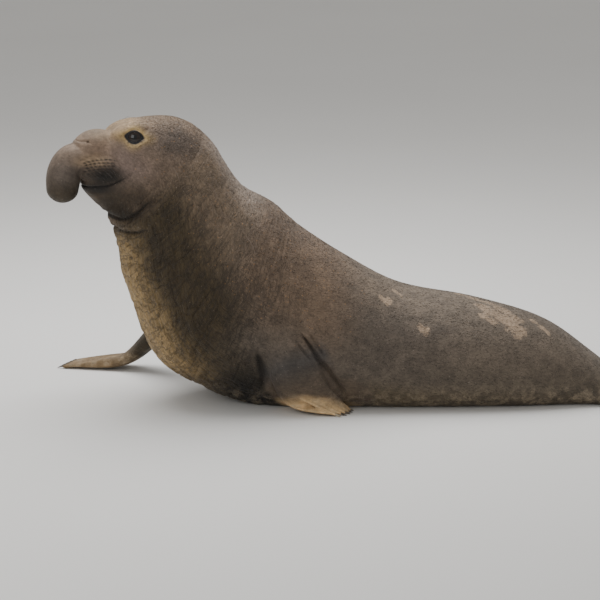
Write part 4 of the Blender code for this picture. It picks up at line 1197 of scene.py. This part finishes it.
def claws(horn):
    """A curved horn claw on each toe."""
    parts, shares, pale = [], [], []
    for knots, toes, mapping in (
        (LEFT_ARM, LEFT_TOES, lambda p: p + SHIFT),
        (RIGHT_ARM, RIGHT_TOES, lambda p: p + SHIFT),
        (HIND_FLIPPER, HIND_TOES, placed),
        (HIND_FLIPPER, HIND_TOES, lambda p: placed(p * (1, -1, 1))),
    ):
        for line, ahead, side in toe_lines(knots, toes):
            tip = np.array(line[-1].point)
            length, radius = toes.claw_length, toes.claw_radius
            root = tip + ahead * toes.width_tip * 0.45 + (0, 0, toes.depth_tip * 0.35)
            share = np.linspace(0, 1, 7)
            bend = np.array([0, 0, -1.0]) * length * 0.22
            path = root + np.outer(share * length, ahead) + np.outer(share**2, bend)
            path[:, 2] = np.maximum(path[:, 2], radius * (1 - share) + 0.002)
            line = [Knot(p, radius * (1 - 0.85 * t**1.6), radius * 0.8 * (1 - 0.85 * t**1.6), side)
                    for p, t in zip(path, share)]
            rings, tips = rounded(tube_rings(line, 14, 14), 0.0, 0.002, 4)
            parts.append(closed(mapping(rings), mapping(np.array(tips))))
            shares.append(np.concatenate([np.repeat(np.linspace(0, 1, len(rings)), rings.shape[1]), [0, 1]]))
            pale.append(np.full(len(shares[-1]), 0.75 if (knots is LEFT_ARM and not parts[1:]) else 0.0))
    made = build("claws", *joined(parts), horn)
    give_number(made.data, "share", np.concatenate(shares))
    give_number(made.data, "pale", np.concatenate(pale))
    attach(made, "root")


def floor(pale):
    """The plain pale floor."""
    side = 60.0
    corners = np.array([(-side, -side, 0), (side, -side, 0), (side, side, 0), (-side, side, 0)], float)
    made = build("floor", corners, np.array([[0, 1, 2, 3]]), pale, smooth=False)


def aim(made, place, target):
    """Puts a light or the camera at a place, facing a target."""
    made.location = Vector(place)
    made.rotation_euler = (Vector(target) - Vector(place)).to_track_quat("-Z", "Y").to_euler()


def camera():
    """The camera at the photograph's angle and framing."""
    target = np.array(CAMERA_TARGET) + SHIFT
    up = np.radians(CAMERA_ELEVATION)
    place = target + CAMERA_DISTANCE * np.array([0, -np.cos(up), np.sin(up)])
    made = bpy.data.objects.new("camera", bpy.data.cameras.new("camera"))
    made.data.lens = CAMERA_LENS
    made.data.sensor_width = 36.0
    made.data.clip_end = 200.0
    bpy.context.scene.collection.objects.link(made)
    aim(made, place, target)
    bpy.context.scene.camera = made


def lamp(name, place, target, size, watts, colour=(1, 1, 1)):
    """A square soft light."""
    made = bpy.data.objects.new(name, bpy.data.lights.new(name, "AREA"))
    made.data.size = size
    made.data.energy = watts
    made.data.color = colour
    bpy.context.scene.collection.objects.link(made)
    aim(made, place, target)


def studio():
    """Soft light from above and behind, with a weak fill, and a pale surround."""
    lamp("sky", (-1.0, 1.2, 5.0), (0, 0, 0.4), 4.5, 360)
    lamp("fill", (-4.0, -5.0, 3.0), (0, 0, 0.6), 3.5, 80)
    world = bpy.data.worlds.new("studio")
    world.use_nodes = True
    world.node_tree.nodes["Background"].inputs["Color"].default_value = (0.86, 0.85, 0.83, 1)
    world.node_tree.nodes["Background"].inputs["Strength"].default_value = 0.62
    bpy.context.scene.world = world


def add(tree, kind, inputs=None, **settings):
    """Adds a shader node. Settings are the node's own properties. Inputs are sockets to join, or values to set."""
    made = tree.nodes.new("ShaderNode" + kind)
    for name, value in settings.items():
        setattr(made, name, value)
    for name, value in (inputs or {}).items():
        if isinstance(value, bpy.types.NodeSocket):
            tree.links.new(value, made.inputs[name])
        else:
            made.inputs[name].default_value = value
    return made


def maths(tree, operation, *values):
    """The result of a sum on sockets and numbers."""
    return add(tree, "Math", dict(enumerate(values)), operation=operation).outputs[0]


def scaled(tree, vector, factors):
    """A vector multiplied by fixed factors."""
    return add(tree, "VectorMath", {0: vector, 1: factors}, operation="MULTIPLY").outputs[0]


def speckle(tree, vector, scale, detail=2.0, rough=0.5):
    """Soft noise from 0 to 1."""
    return add(tree, "TexNoise", {"Vector": vector, "Scale": scale, "Detail": detail, "Roughness": rough}).outputs[0]


def stepped(tree, value, low, high, start=0.0, end=1.0):
    """A smooth step from start to end as a value goes from low to high."""
    inputs = {"Value": value, "From Min": low, "From Max": high, "To Min": start, "To Max": end}
    return add(tree, "MapRange", inputs, interpolation_type="SMOOTHSTEP").outputs[0]


def mixed(tree, share, colour, other, blend="MIX"):
    """Two colours mixed by a share."""
    inputs = {0: share, 6: colour, 7: other}
    return add(tree, "Mix", inputs, data_type="RGBA", blend_type=blend).outputs[2]


def group(name, inputs, outputs, fill):
    """A node group with named sockets. fill is given its tree and its input sockets, and returns what each output
    is joined to."""
    tree = bpy.data.node_groups.new(name, "ShaderNodeTree")
    for label, kind in inputs:
        tree.interface.new_socket(name=label, in_out="INPUT", socket_type="NodeSocket" + kind)
    for label, kind in outputs:
        tree.interface.new_socket(name=label, in_out="OUTPUT", socket_type="NodeSocket" + kind)
    start, end = tree.nodes.new("NodeGroupInput"), tree.nodes.new("NodeGroupOutput")
    for (label, _), socket in zip(outputs, fill(tree, {socket.name: socket for socket in start.outputs if socket.name})):
        tree.links.new(socket, end.inputs[label])
    return tree


def placed_group(tree, name, inputs):
    """Puts a node group into a material."""
    made = tree.nodes.new("ShaderNodeGroup")
    made.node_tree = bpy.data.node_groups[name]
    for label, value in inputs.items():
        if isinstance(value, bpy.types.NodeSocket):
            tree.links.new(value, made.inputs[label])
        else:
            made.inputs[label].default_value = value
    return made.outputs


def fill_flat_fur(tree, given):
    """Streaks of short hair along the coat's lie, two finenesses of them."""
    coarse = speckle(tree, scaled(tree, given["Lie"], (0.10, 1, 1)), 330.0)
    fine = speckle(tree, scaled(tree, given["Lie"], (0.16, 1, 1)), 800.0)
    height = maths(tree, "ADD", maths(tree, "MULTIPLY", coarse, 0.6), maths(tree, "MULTIPLY", fine, 0.4))
    return height, stepped(tree, height, 0.30, 0.70, 0.80, 1.18)


def fill_rugged_hide(tree, given):
    """Creases and pebbles of thick skin: the lines where slow noise crosses its middle, most of them drawn out
    across the body and weaker ones along it, with the gaps between the cells of a warped lattice."""
    warp = scaled(tree, add(tree, "TexNoise", {"Vector": given["Lie"], "Scale": 7.0}).outputs["Color"], (0.03,) * 3)
    place = add(tree, "VectorMath", {0: scaled(tree, given["Lie"], (0.30, 1, 1)), 1: warp}, operation="ADD").outputs[0]
    beside = add(tree, "VectorMath", {0: scaled(tree, given["Lie"], (1, 0.26, 0.26)), 1: warp}, operation="ADD").outputs[0]
    ridge = maths(tree, "ABSOLUTE", maths(tree, "SUBTRACT", speckle(tree, beside, 36.0, 3.0, 0.55), 0.5))
    across = stepped(tree, ridge, 0.0, 0.06, 1.0, 0.0)
    ridge = maths(tree, "ABSOLUTE", maths(tree, "SUBTRACT", speckle(tree, place, 34.0, 3.0, 0.55), 0.5))
    furrow = maths(tree, "MAXIMUM", across, stepped(tree, ridge, 0.0, 0.06, 0.55, 0.0))
    cells = add(tree, "TexVoronoi", {"Vector": place, "Scale": 78.0}, feature="DISTANCE_TO_EDGE").outputs["Distance"]
    gaps = stepped(tree, cells, 0.0, 0.16, 1.0, 0.0)
    crease = maths(tree, "MULTIPLY", maths(tree, "MAXIMUM", furrow, maths(tree, "MULTIPLY", gaps, 0.36)), given["Rugged"])
    pebbles = maths(tree, "MULTIPLY", speckle(tree, place, 95.0, 2.0), given["Rugged"])
    return maths(tree, "SUBTRACT", maths(tree, "MULTIPLY", pebbles, 0.8), crease), crease


def fill_flecks(tree, given):
    """Small irregular spots at some of the cells of a lattice."""
    cells = add(tree, "TexVoronoi", {"Vector": given["Place"], "Scale": given["Scale"], "Randomness": 1.0})
    odds = add(tree, "SeparateColor", {"Color": cells.outputs["Color"]}).outputs[0]
    chosen = maths(tree, "LESS_THAN", odds, given["Amount"])
    ragged = maths(tree, "ADD", cells.outputs["Distance"], maths(tree, "MULTIPLY", speckle(tree, given["Place"], 260.0), 0.35))
    return (maths(tree, "MULTIPLY", chosen, stepped(tree, ragged, 0.34, 0.52, 1.0, 0.0)),)


def fill_coat_colour(tree, given):
    """The coat's markings: its tint with soft mottling, orange flecks, pale scars' specks, painted shade in the creases
    and the ragged pale patch."""
    tears = maths(tree, "MULTIPLY", speckle(tree, given["Place"], 26.0, 6.0, 0.80), 2.4)
    patch = stepped(tree, maths(tree, "ADD", given["Patch"], tears), 1.82, 2.06)
    tint = mixed(tree, maths(tree, "MULTIPLY", patch, 0.80), given["Tint"], (0.310, 0.222, 0.150, 1))
    broad = stepped(tree, speckle(tree, given["Place"], 16.0, 3.0, 0.6), 0.30, 0.70, 0.82, 1.18)
    small = stepped(tree, speckle(tree, scaled(tree, given["Lie"], (0.45, 1, 1)), 95.0, 3.0, 0.65), 0.30, 0.70, 0.84, 1.17)
    light = maths(tree, "MULTIPLY", maths(tree, "MULTIPLY", broad, small), given["Shade"])
    grey = add(tree, "CombineColor", {0: light, 1: light, 2: light}).outputs[0]
    colour = mixed(tree, 1.0, tint, grey, "MULTIPLY")
    orange = placed_group(tree, "flecks", {"Place": given["Place"], "Scale": 85.0,
                                           "Amount": maths(tree, "MULTIPLY", given["Flecked"], 0.16)})[0]
    colour = mixed(tree, maths(tree, "MULTIPLY", orange, 0.60), colour, (0.330, 0.175, 0.070, 1))
    pale = placed_group(tree, "flecks", {"Place": given["Place"], "Scale": 140.0, "Amount": 0.020})[0]
    colour = mixed(tree, maths(tree, "MULTIPLY", pale, 0.50), colour, (0.330, 0.280, 0.230, 1))
    dark = placed_group(tree, "flecks", {"Place": given["Place"], "Scale": 110.0, "Amount": 0.035})[0]
    colour = mixed(tree, maths(tree, "MULTIPLY", dark, 0.55), colour, (0.022, 0.017, 0.013, 1))
    # painted shade in the creases of the rugged hide
    return (mixed(tree, maths(tree, "MULTIPLY", given["Crease"], 0.60), colour, (0.018, 0.013, 0.009, 1)),)


def fill_sand(tree, given):
    """Fine dry sand that clings low down, in drifts."""
    drift = speckle(tree, given["Place"], 22.0, 4.0, 0.7)
    grains = speckle(tree, given["Place"], 900.0, 1.0)
    mask = maths(tree, "MULTIPLY", stepped(tree, drift, 0.42, 0.66), stepped(tree, grains, 0.35, 0.60))
    return (maths(tree, "MULTIPLY", mask, given["Amount"]),)


def effects():
    """The effects that more than one material uses."""
    group("flat fur", (("Lie", "Vector"),), (("Height", "Float"), ("Shade", "Float")), fill_flat_fur)
    rugged = (("Lie", "Vector"), ("Rugged", "Float"))
    group("rugged hide", rugged, (("Height", "Float"), ("Crease", "Float")), fill_rugged_hide)
    spots = (("Place", "Vector"), ("Scale", "Float"), ("Amount", "Float"))
    group("flecks", spots, (("Mask", "Float"),), fill_flecks)
    group("sand", (("Place", "Vector"), ("Amount", "Float")), (("Mask", "Float"),), fill_sand)
    marks = (("Tint", "Color"), ("Place", "Vector"), ("Lie", "Vector"), ("Shade", "Float"), ("Patch", "Float"),
             ("Flecked", "Float"), ("Crease", "Float"))
    group("coat colour", marks, (("Color", "Color"),), fill_coat_colour)


def finish(name, roughness, **constants):
    """A material with one Principled shader. Its constants are set on the shader's own sockets."""
    made = bpy.data.materials.new(name)
    made.use_nodes = True
    shader = made.node_tree.nodes["Principled BSDF"]
    shader.inputs["Roughness"].default_value = roughness
    for label, value in constants.items():
        shader.inputs[label.replace("_", " ")].default_value = value
    return made, made.node_tree, shader


def stored(tree, name, output="Fac"):
    """A value stored at the mesh's points."""
    return add(tree, "Attribute", attribute_name=name).outputs[output]


def hide_material(name, rugged_height, fur_height, roughness):
    """The hide with its flat coat: the stored tint, painted light and shade included, and its markings, hair streaks
    and creases as bump, and a low sheen along the hair."""
    made, tree, shader = finish(name, roughness, Sheen_Weight=0.06, Sheen_Roughness=0.45, Specular_IOR_Level=0.32)
    lie = stored(tree, "lie", "Vector")
    place = add(tree, "TexCoord").outputs["Object"]
    fur = placed_group(tree, "flat fur", {"Lie": lie})
    rugged = placed_group(tree, "rugged hide", {"Lie": lie, "Rugged": stored(tree, "rugged")})
    colour = placed_group(tree, "coat colour", {
        "Tint": stored(tree, "tint", "Color"), "Place": place, "Lie": lie, "Shade": fur["Shade"],
        "Patch": stored(tree, "patch"), "Flecked": stored(tree, "flecked"), "Crease": rugged["Crease"],
    })[0]
    sand = placed_group(tree, "sand", {"Place": place, "Amount": stored(tree, "sandy")})[0]
    colour = mixed(tree, maths(tree, "MULTIPLY", sand, 0.75), colour, (0.430, 0.340, 0.230, 1))
    tree.links.new(colour, shader.inputs["Base Color"])
    dull = maths(tree, "ADD", roughness - 0.12, maths(tree, "MULTIPLY", fur["Height"], 0.24))
    wet = maths(tree, "MULTIPLY", stored(tree, "bare"), 0.38)
    tree.links.new(maths(tree, "SUBTRACT", dull, wet), shader.inputs["Roughness"])
    lumps = maths(tree, "MULTIPLY", speckle(tree, place, 55.0, 3.0, 0.6), 0.0035)
    height = maths(tree, "ADD", lumps, maths(tree, "MULTIPLY", rugged["Height"], rugged_height))
    height = maths(tree, "ADD", height, maths(tree, "MULTIPLY", fur["Height"], fur_height))
    bump = add(tree, "Bump", {"Height": height, "Distance": 1.0, "Strength": 1.0})
    tree.links.new(bump.outputs[0], shader.inputs["Normal"])
    return made


def eye_material():
    """A dark wet eye: a wide black pupil in a deep brown iris with fine spokes, and a nearly black white."""
    made, tree, shader = finish("wet eye", 0.04, Specular_IOR_Level=0.5)
    out = stored(tree, "out")
    spokes = speckle(tree, stored(tree, "spokes", "Vector"), 9.0, 3.0)
    iris = mixed(tree, spokes, (0.005, 0.003, 0.002, 1), (0.022, 0.010, 0.005, 1))
    colour = mixed(tree, stepped(tree, out, 0.30, 0.34), (0.002, 0.002, 0.002, 1), iris)
    colour = mixed(tree, stepped(tree, out, 0.60, 0.70), colour, (0.006, 0.005, 0.005, 1))
    tree.links.new(colour, shader.inputs["Base Color"])
    tree.links.new(stepped(tree, spokes, 0.3, 0.7, 0.03, 0.06), shader.inputs["Roughness"])
    return made


def horn_material():
    """Dark claw horn with growth rings, paler at the tip, with sand on it."""
    made, tree, shader = finish("claw horn", 0.38, Specular_IOR_Level=0.5)
    share = stored(tree, "share")
    place = add(tree, "TexCoord").outputs["Object"]
    rings = add(tree, "TexNoise", {"Vector": add(tree, "CombineXYZ", {0: maths(tree, "MULTIPLY", share, 14.0)}).outputs[0],
                                   "Scale": 1.0, "Detail": 3.0}).outputs[0]
    colour = mixed(tree, rings, (0.020, 0.015, 0.012, 1), (0.075, 0.058, 0.043, 1))
    pale = maths(tree, "MAXIMUM", stepped(tree, share, 0.65, 1.0, 0.0, 0.6), stored(tree, "pale"))
    colour = mixed(tree, pale, colour, (0.420, 0.350, 0.240, 1))
    sand = placed_group(tree, "sand", {"Place": place, "Amount": 0.35})[0]
    tree.links.new(mixed(tree, sand, colour, (0.430, 0.340, 0.230, 1)), shader.inputs["Base Color"])
    tree.links.new(stepped(tree, rings, 0.2, 0.8, 0.30, 0.48), shader.inputs["Roughness"])
    bump = add(tree, "Bump", {"Height": maths(tree, "MULTIPLY", rings, 0.0012), "Distance": 1.0})
    tree.links.new(bump.outputs[0], shader.inputs["Normal"])
    return made


def whisker_material():
    """Stiff dark bristles, browner towards their tips."""
    made, tree, shader = finish("whisker", 0.35)
    share = stored(tree, "share")
    uneven = speckle(tree, add(tree, "TexCoord").outputs["Object"], 240.0)
    colour = mixed(tree, stepped(tree, share, 0.3, 1.0), (0.010, 0.008, 0.007, 1), (0.110, 0.080, 0.050, 1))
    colour = mixed(tree, maths(tree, "MULTIPLY", uneven, 0.4), colour, (0.030, 0.022, 0.016, 1))
    tree.links.new(colour, shader.inputs["Base Color"])
    tree.links.new(stepped(tree, uneven, 0.3, 0.7, 0.28, 0.44), shader.inputs["Roughness"])
    return made


def scar_material():
    """Healed scratches: pale bare skin, pinker in places."""
    made, tree, shader = finish("scar", 0.5)
    place = add(tree, "TexCoord").outputs["Object"]
    colour = mixed(tree, speckle(tree, place, 120.0, 3.0), (0.085, 0.062, 0.045, 1), (0.195, 0.140, 0.102, 1))
    tree.links.new(colour, shader.inputs["Base Color"])
    grain = speckle(tree, place, 400.0)
    tree.links.new(stepped(tree, grain, 0.3, 0.7, 0.42, 0.62), shader.inputs["Roughness"])
    bump = add(tree, "Bump", {"Height": maths(tree, "MULTIPLY", grain, 0.0006), "Distance": 1.0})
    tree.links.new(bump.outputs[0], shader.inputs["Normal"])
    return made


def floor_material():
    """Plain pale studio floor with a faint unevenness."""
    made, tree, shader = finish("pale floor", 0.8)
    uneven = speckle(tree, add(tree, "TexCoord").outputs["Object"], 0.6, 2.0)
    colour = mixed(tree, uneven, (0.70, 0.69, 0.67, 1), (0.74, 0.73, 0.71, 1))
    tree.links.new(colour, shader.inputs["Base Color"])
    return made


# The coat's tufts: how many, how long and wide, and the stretch of the trunk that each piece covers.
Coat = namedtuple("Coat", "name slot start end count length width")
COATS = (
    Coat("coat_face", "face", "brow", "mouth_tip", 19500, 0.0060, 0.0020),
    Coat("coat_head", "face", "throat", "brow", 19500, 0.0085, 0.0026),
    Coat("coat_chest", "shield", "breast", "throat", 19500, 0.0120, 0.0028),
    Coat("coat_shoulders", "hide", "ribs", "breast", 19500, 0.0125, 0.0030),
    Coat("coat_rear", "hide", "rump", "ribs", 19500, 0.0135, 0.0032),
)
TUFT_SINK = 0.0007
TUFT_LIFT = 0.0005
TUFT_THICK = 0.09  # a tuft's thickness as a share of its width
LIMB_TUFT = 0.62  # how much shorter the tufts on the flippers are
PATCH_SIDE = 0.003  # the side of a tuft's patch on its map
TRUNK_BAND = 0.74  # the share of the map's height that the trunk takes


def backwards(points, masks):
    """The way the coat lies at points of the straight plane, in the posed place: towards the tail and a little
    down, and towards the tip on the flippers."""
    place, _ = trunk_coordinates(points)
    rise = spline(STATION_PLACES, BACKS, place) - spline(STATION_PLACES, BELLIES, place)
    rise /= np.linalg.norm(rise, axis=1)[:, None]
    s, _, _, heading = BEND_TABLES
    turn = np.interp(points[:, 0], s, heading)
    way = np.stack([rise[:, 1] * np.cos(turn), rise[:, 1] * np.sin(turn), -rise[:, 0] - 0.25], axis=1)
    for i, (mask, _, along) in enumerate(masks):
        if i > 1:
            along = np.stack([
                along[:, 0] * np.cos(turn) - along[:, 1] * np.sin(turn),
                along[:, 0] * np.sin(turn) + along[:, 1] * np.cos(turn),
                along[:, 2],
            ], axis=1)
        way += (along - way) * mask[:, None]
    return way


def coat(hide, body):
    """The coat as thin tufts over the skin: each is a flat three-sided blade, from a root sunk in the skin to a
    single tip, which lies along the coat. They are spread evenly over the skin, at places drawn by chance."""
    points, faces, outward, _ = body
    chance = np.random.default_rng(20)
    final = placed(points)
    centre = points[faces].mean(axis=1)
    place, _ = trunk_coordinates(centre)
    area = np.linalg.norm(np.cross(points[faces[:, 1]] - points[faces[:, 0]], points[faces[:, 2]] - points[faces[:, 0]]), axis=1)
    keep = np.ones(len(faces))
    for side in (-1, 1):
        keep *= eye_shares(centre, side)[0] > 1.45
    keep *= fold_depth(centre, FINE_FOLDS[:1]) < 0.003
    keep *= dent_depth(centre, DENTS[1]) < 0.002
    keep *= np.where((pad_shares(centre) < 1.0) & (np.abs(centre[:, 1]) > 0.04), 0.35, 1.0)
    keep *= final[faces].mean(axis=1)[:, 2] > 0.012
    for one in COATS:
        inside = (place >= place_of(one.start)) & (place < place_of(one.end) + (one.end == "mouth_tip"))
        weight = np.cumsum(area * keep * inside)
        count = one.count
        picked = np.searchsorted(weight, chance.random(count) * weight[-1])
        share = chance.dirichlet((1, 1, 1), count)[..., None]
        corner = faces[picked]
        flat_root = (points[corner] * share).sum(axis=1)
        root = (final[corner] * share).sum(axis=1)
        up = (outward[corner] * share).sum(axis=1)
        up /= np.linalg.norm(up, axis=1)[:, None]
        masks = flipper_masks(flat_root)
        limb = np.max([mask for mask, _, _ in masks], axis=0)
        way = backwards(flat_root, masks) + chance.normal(0, 0.12, (count, 3))
        way -= up * (way * up).sum(axis=1)[:, None]
        way /= np.linalg.norm(way, axis=1)[:, None]
        side = np.cross(up, way)
        size = (0.7 + 0.6 * chance.random(count)) * (1 - (1 - LIMB_TUFT) * limb)
        size *= 1 - 0.35 * smoother(-0.80, -1.00, flat_root[:, 0])
        length = (one.length * size)[:, None]
        half = (one.width * size)[:, None] / 2
        sink, lift = TUFT_SINK, (TUFT_LIFT * size)[:, None]
        low = root - up * sink
        middle = root + way * length * 0.45 + up * lift * 0.55
        tip = root + way * length + up * lift * (0.6 + 0.8 * chance.random((count, 1)))
        ridge = up * half * 2 * TUFT_THICK
        blade = np.stack([
            low - side * half, low + side * half, low + ridge,
            middle - side * half * 0.85, middle + side * half * 0.85, middle + ridge,
            tip,
        ], axis=1)
        blade[..., 2] = np.maximum(blade[..., 2], FLOOR_CLEAR)
        pattern = np.array([
            (0, 1, 4), (0, 4, 3), (1, 2, 5), (1, 5, 4), (2, 0, 3), (2, 3, 5), (3, 4, 6), (4, 5, 6), (5, 3, 6), (0, 2, 1),
        ])
        tufts = (pattern + 7 * np.arange(count)[:, None, None]).reshape(-1, 3)
        made = build(one.name, blade.reshape(-1, 3), tufts, hide, smooth=False)
        give_markings(made.data, flat_root, 7)
        give_map(made.data, flat_root, masks, tufts)
        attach(made, "root")


def give_map(mesh, roots, masks, tufts):
    """Gives each tuft its small patch on an unwrap of the skin's own shape: the trunk by the place along it and the
    turn round it, and each flipper in a strip of its own."""
    place, _ = trunk_coordinates(roots)
    middle = (spline(STATION_PLACES, BACKS, place) + spline(STATION_PLACES, BELLIES, place)) / 2
    turn = np.arctan2(roots[:, 1], roots[:, 2] - middle[:, 1]) / (2 * np.pi) + 0.5
    u, v = 0.01 + 0.98 * place / TRUNK_LENGTH, 0.01 + (TRUNK_BAND - 0.02) * turn
    strip = (1 - TRUNK_BAND) / len(masks)
    for i, (mask, share, _) in enumerate(masks):
        on = mask > 0.5
        u[on] = 0.01 + 0.98 * share[on]
        v[on] = TRUNK_BAND + strip * (i + 0.15 + 0.7 * turn[on])
    corner = np.array([(0, 0), (1, 0), (0.5, 0.2), (0, 0.6), (1, 0.6), (0.5, 0.8), (0.5, 1)]) - 0.5
    spots = np.stack([u, v], axis=1)[:, None] + corner * PATCH_SIDE
    layer = mesh.uv_layers.new(name="OFBake")
    layer.data.foreach_set("uv", spots.reshape(-1, 2)[tufts.ravel()].astype(np.float32).ravel())


def whiskers(body, bristle):
    """The whiskers of both pads and of the brows: thin curved bristles that taper to a point, swept back and
    down."""
    tree = body[-1]
    chance = np.random.default_rng(31)
    parts, shares = [], []
    brows = [(-0.872, 1.416), (-0.858, 1.420), (-0.846, 1.416), (-0.862, 1.408)]
    for side in (-1, 1):
        for i, (s, z) in enumerate([*whisker_roots(), *brows]):
            hit, outward, _, _ = tree.ray_cast(Vector((s, side * 0.5, z)), Vector((0, -side, 0)))
            if hit is None:
                continue
            root, outward = np.array(hit), np.array(outward)
            length = 0.018 + 0.030 * chance.random() + 0.014 * (s + 1.1) / 0.1 * (z < 1.3)
            ahead = outward * 0.75 + np.array([0.75, 0, -0.30]) + chance.normal(0, 0.10, 3)
            ahead /= np.linalg.norm(ahead)
            t = np.linspace(0, 1, 6)
            path = root - ahead * 0.002 + np.outer(t * length, ahead) + np.outer(t**2 * length * 0.45, (0.45, 0, -0.75))
            radius = 0.00085 * (1 - 0.85 * t)
            line = [Knot(tuple(p), r, r, (0, 0, 1)) for p, r in zip(path, radius)]
            rings = tube_rings(line, 7, 5)
            parts.append(closed(placed(rings)))
            shares.append(np.concatenate([np.repeat(np.linspace(0, 1, 7), 5), [0, 1]]))
    made = build("whiskers", *joined(parts), bristle)
    give_number(made.data, "share", np.concatenate(shares))
    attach(made, "root")


# Healed scratches, as lines seen from the side (s, z), and the side they are on.
Scar = namedtuple("Scar", "line side width")
SCARS = (
    Scar(((-0.660, 1.425), (-0.600, 1.408), (-0.540, 1.372)), -1, 0.0022),
    Scar(((-0.700, 1.240), (-0.672, 1.200), (-0.655, 1.150)), -1, 0.0018),
    Scar(((-0.520, 1.150), (-0.480, 1.115), (-0.455, 1.060)), -1, 0.0026),
    Scar(((-0.330, 0.900), (-0.290, 0.850), (-0.270, 0.790)), -1, 0.0022),
    Scar(((-0.760, 1.210), (-0.735, 1.185), (-0.700, 1.180)), 1, 0.0018),
    Scar(((-0.600, 1.100), (-0.560, 1.060), (-0.540, 1.000)), 1, 0.0026),
    Scar(((-0.650, 0.900), (-0.640, 0.840), (-0.610, 0.790)), 1, 0.0022),
    Scar(((-0.420, 0.860), (-0.380, 0.800), (-0.360, 0.740)), 1, 0.0022),
    Scar(((0.320, 0.520), (0.380, 0.500), (0.450, 0.505)), 1, 0.0024),
    Scar(((0.300, 0.560), (0.340, 0.530), (0.400, 0.520)), -1, 0.0020),
)


def scars(body, pale):
    """Each scratch as a low ridge laid along the skin, thinnest at its ends."""
    tree = body[-1]
    parts = []
    for scar in SCARS:
        share = np.linspace(0, 1, 15)
        places = distances(scar.line)
        line = []
        for (s, z), t in zip(spline(places, scar.line, share * places[-1]), share):
            hit, outward, _, _ = tree.ray_cast(Vector((s, scar.side * 0.9, z)), Vector((0, -scar.side, 0)))
            width = scar.width * (0.25 + np.sin(np.pi * t))
            side = outward.cross(Vector((0.6, 0, -0.8)))
            line.append(Knot(tuple(np.array(hit)), width, 0.0009, tuple(side)))
        rings = tube_rings(line, 24, 8)
        parts.append(closed(placed(rings)))
    made = build("scars", *joined(parts), pale)
    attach(made, "root")


effects()
hide = hide_material("hide", 0.0045, 0.0010, 0.66)
body = skin(hide)
coat(hide_material("coat", 0.0, 0.0006, 0.70), body)
eyeballs(eye_material())
claws(horn_material())
whiskers(body, whisker_material())
scars(body, scar_material())
floor(floor_material())
camera()
studio()
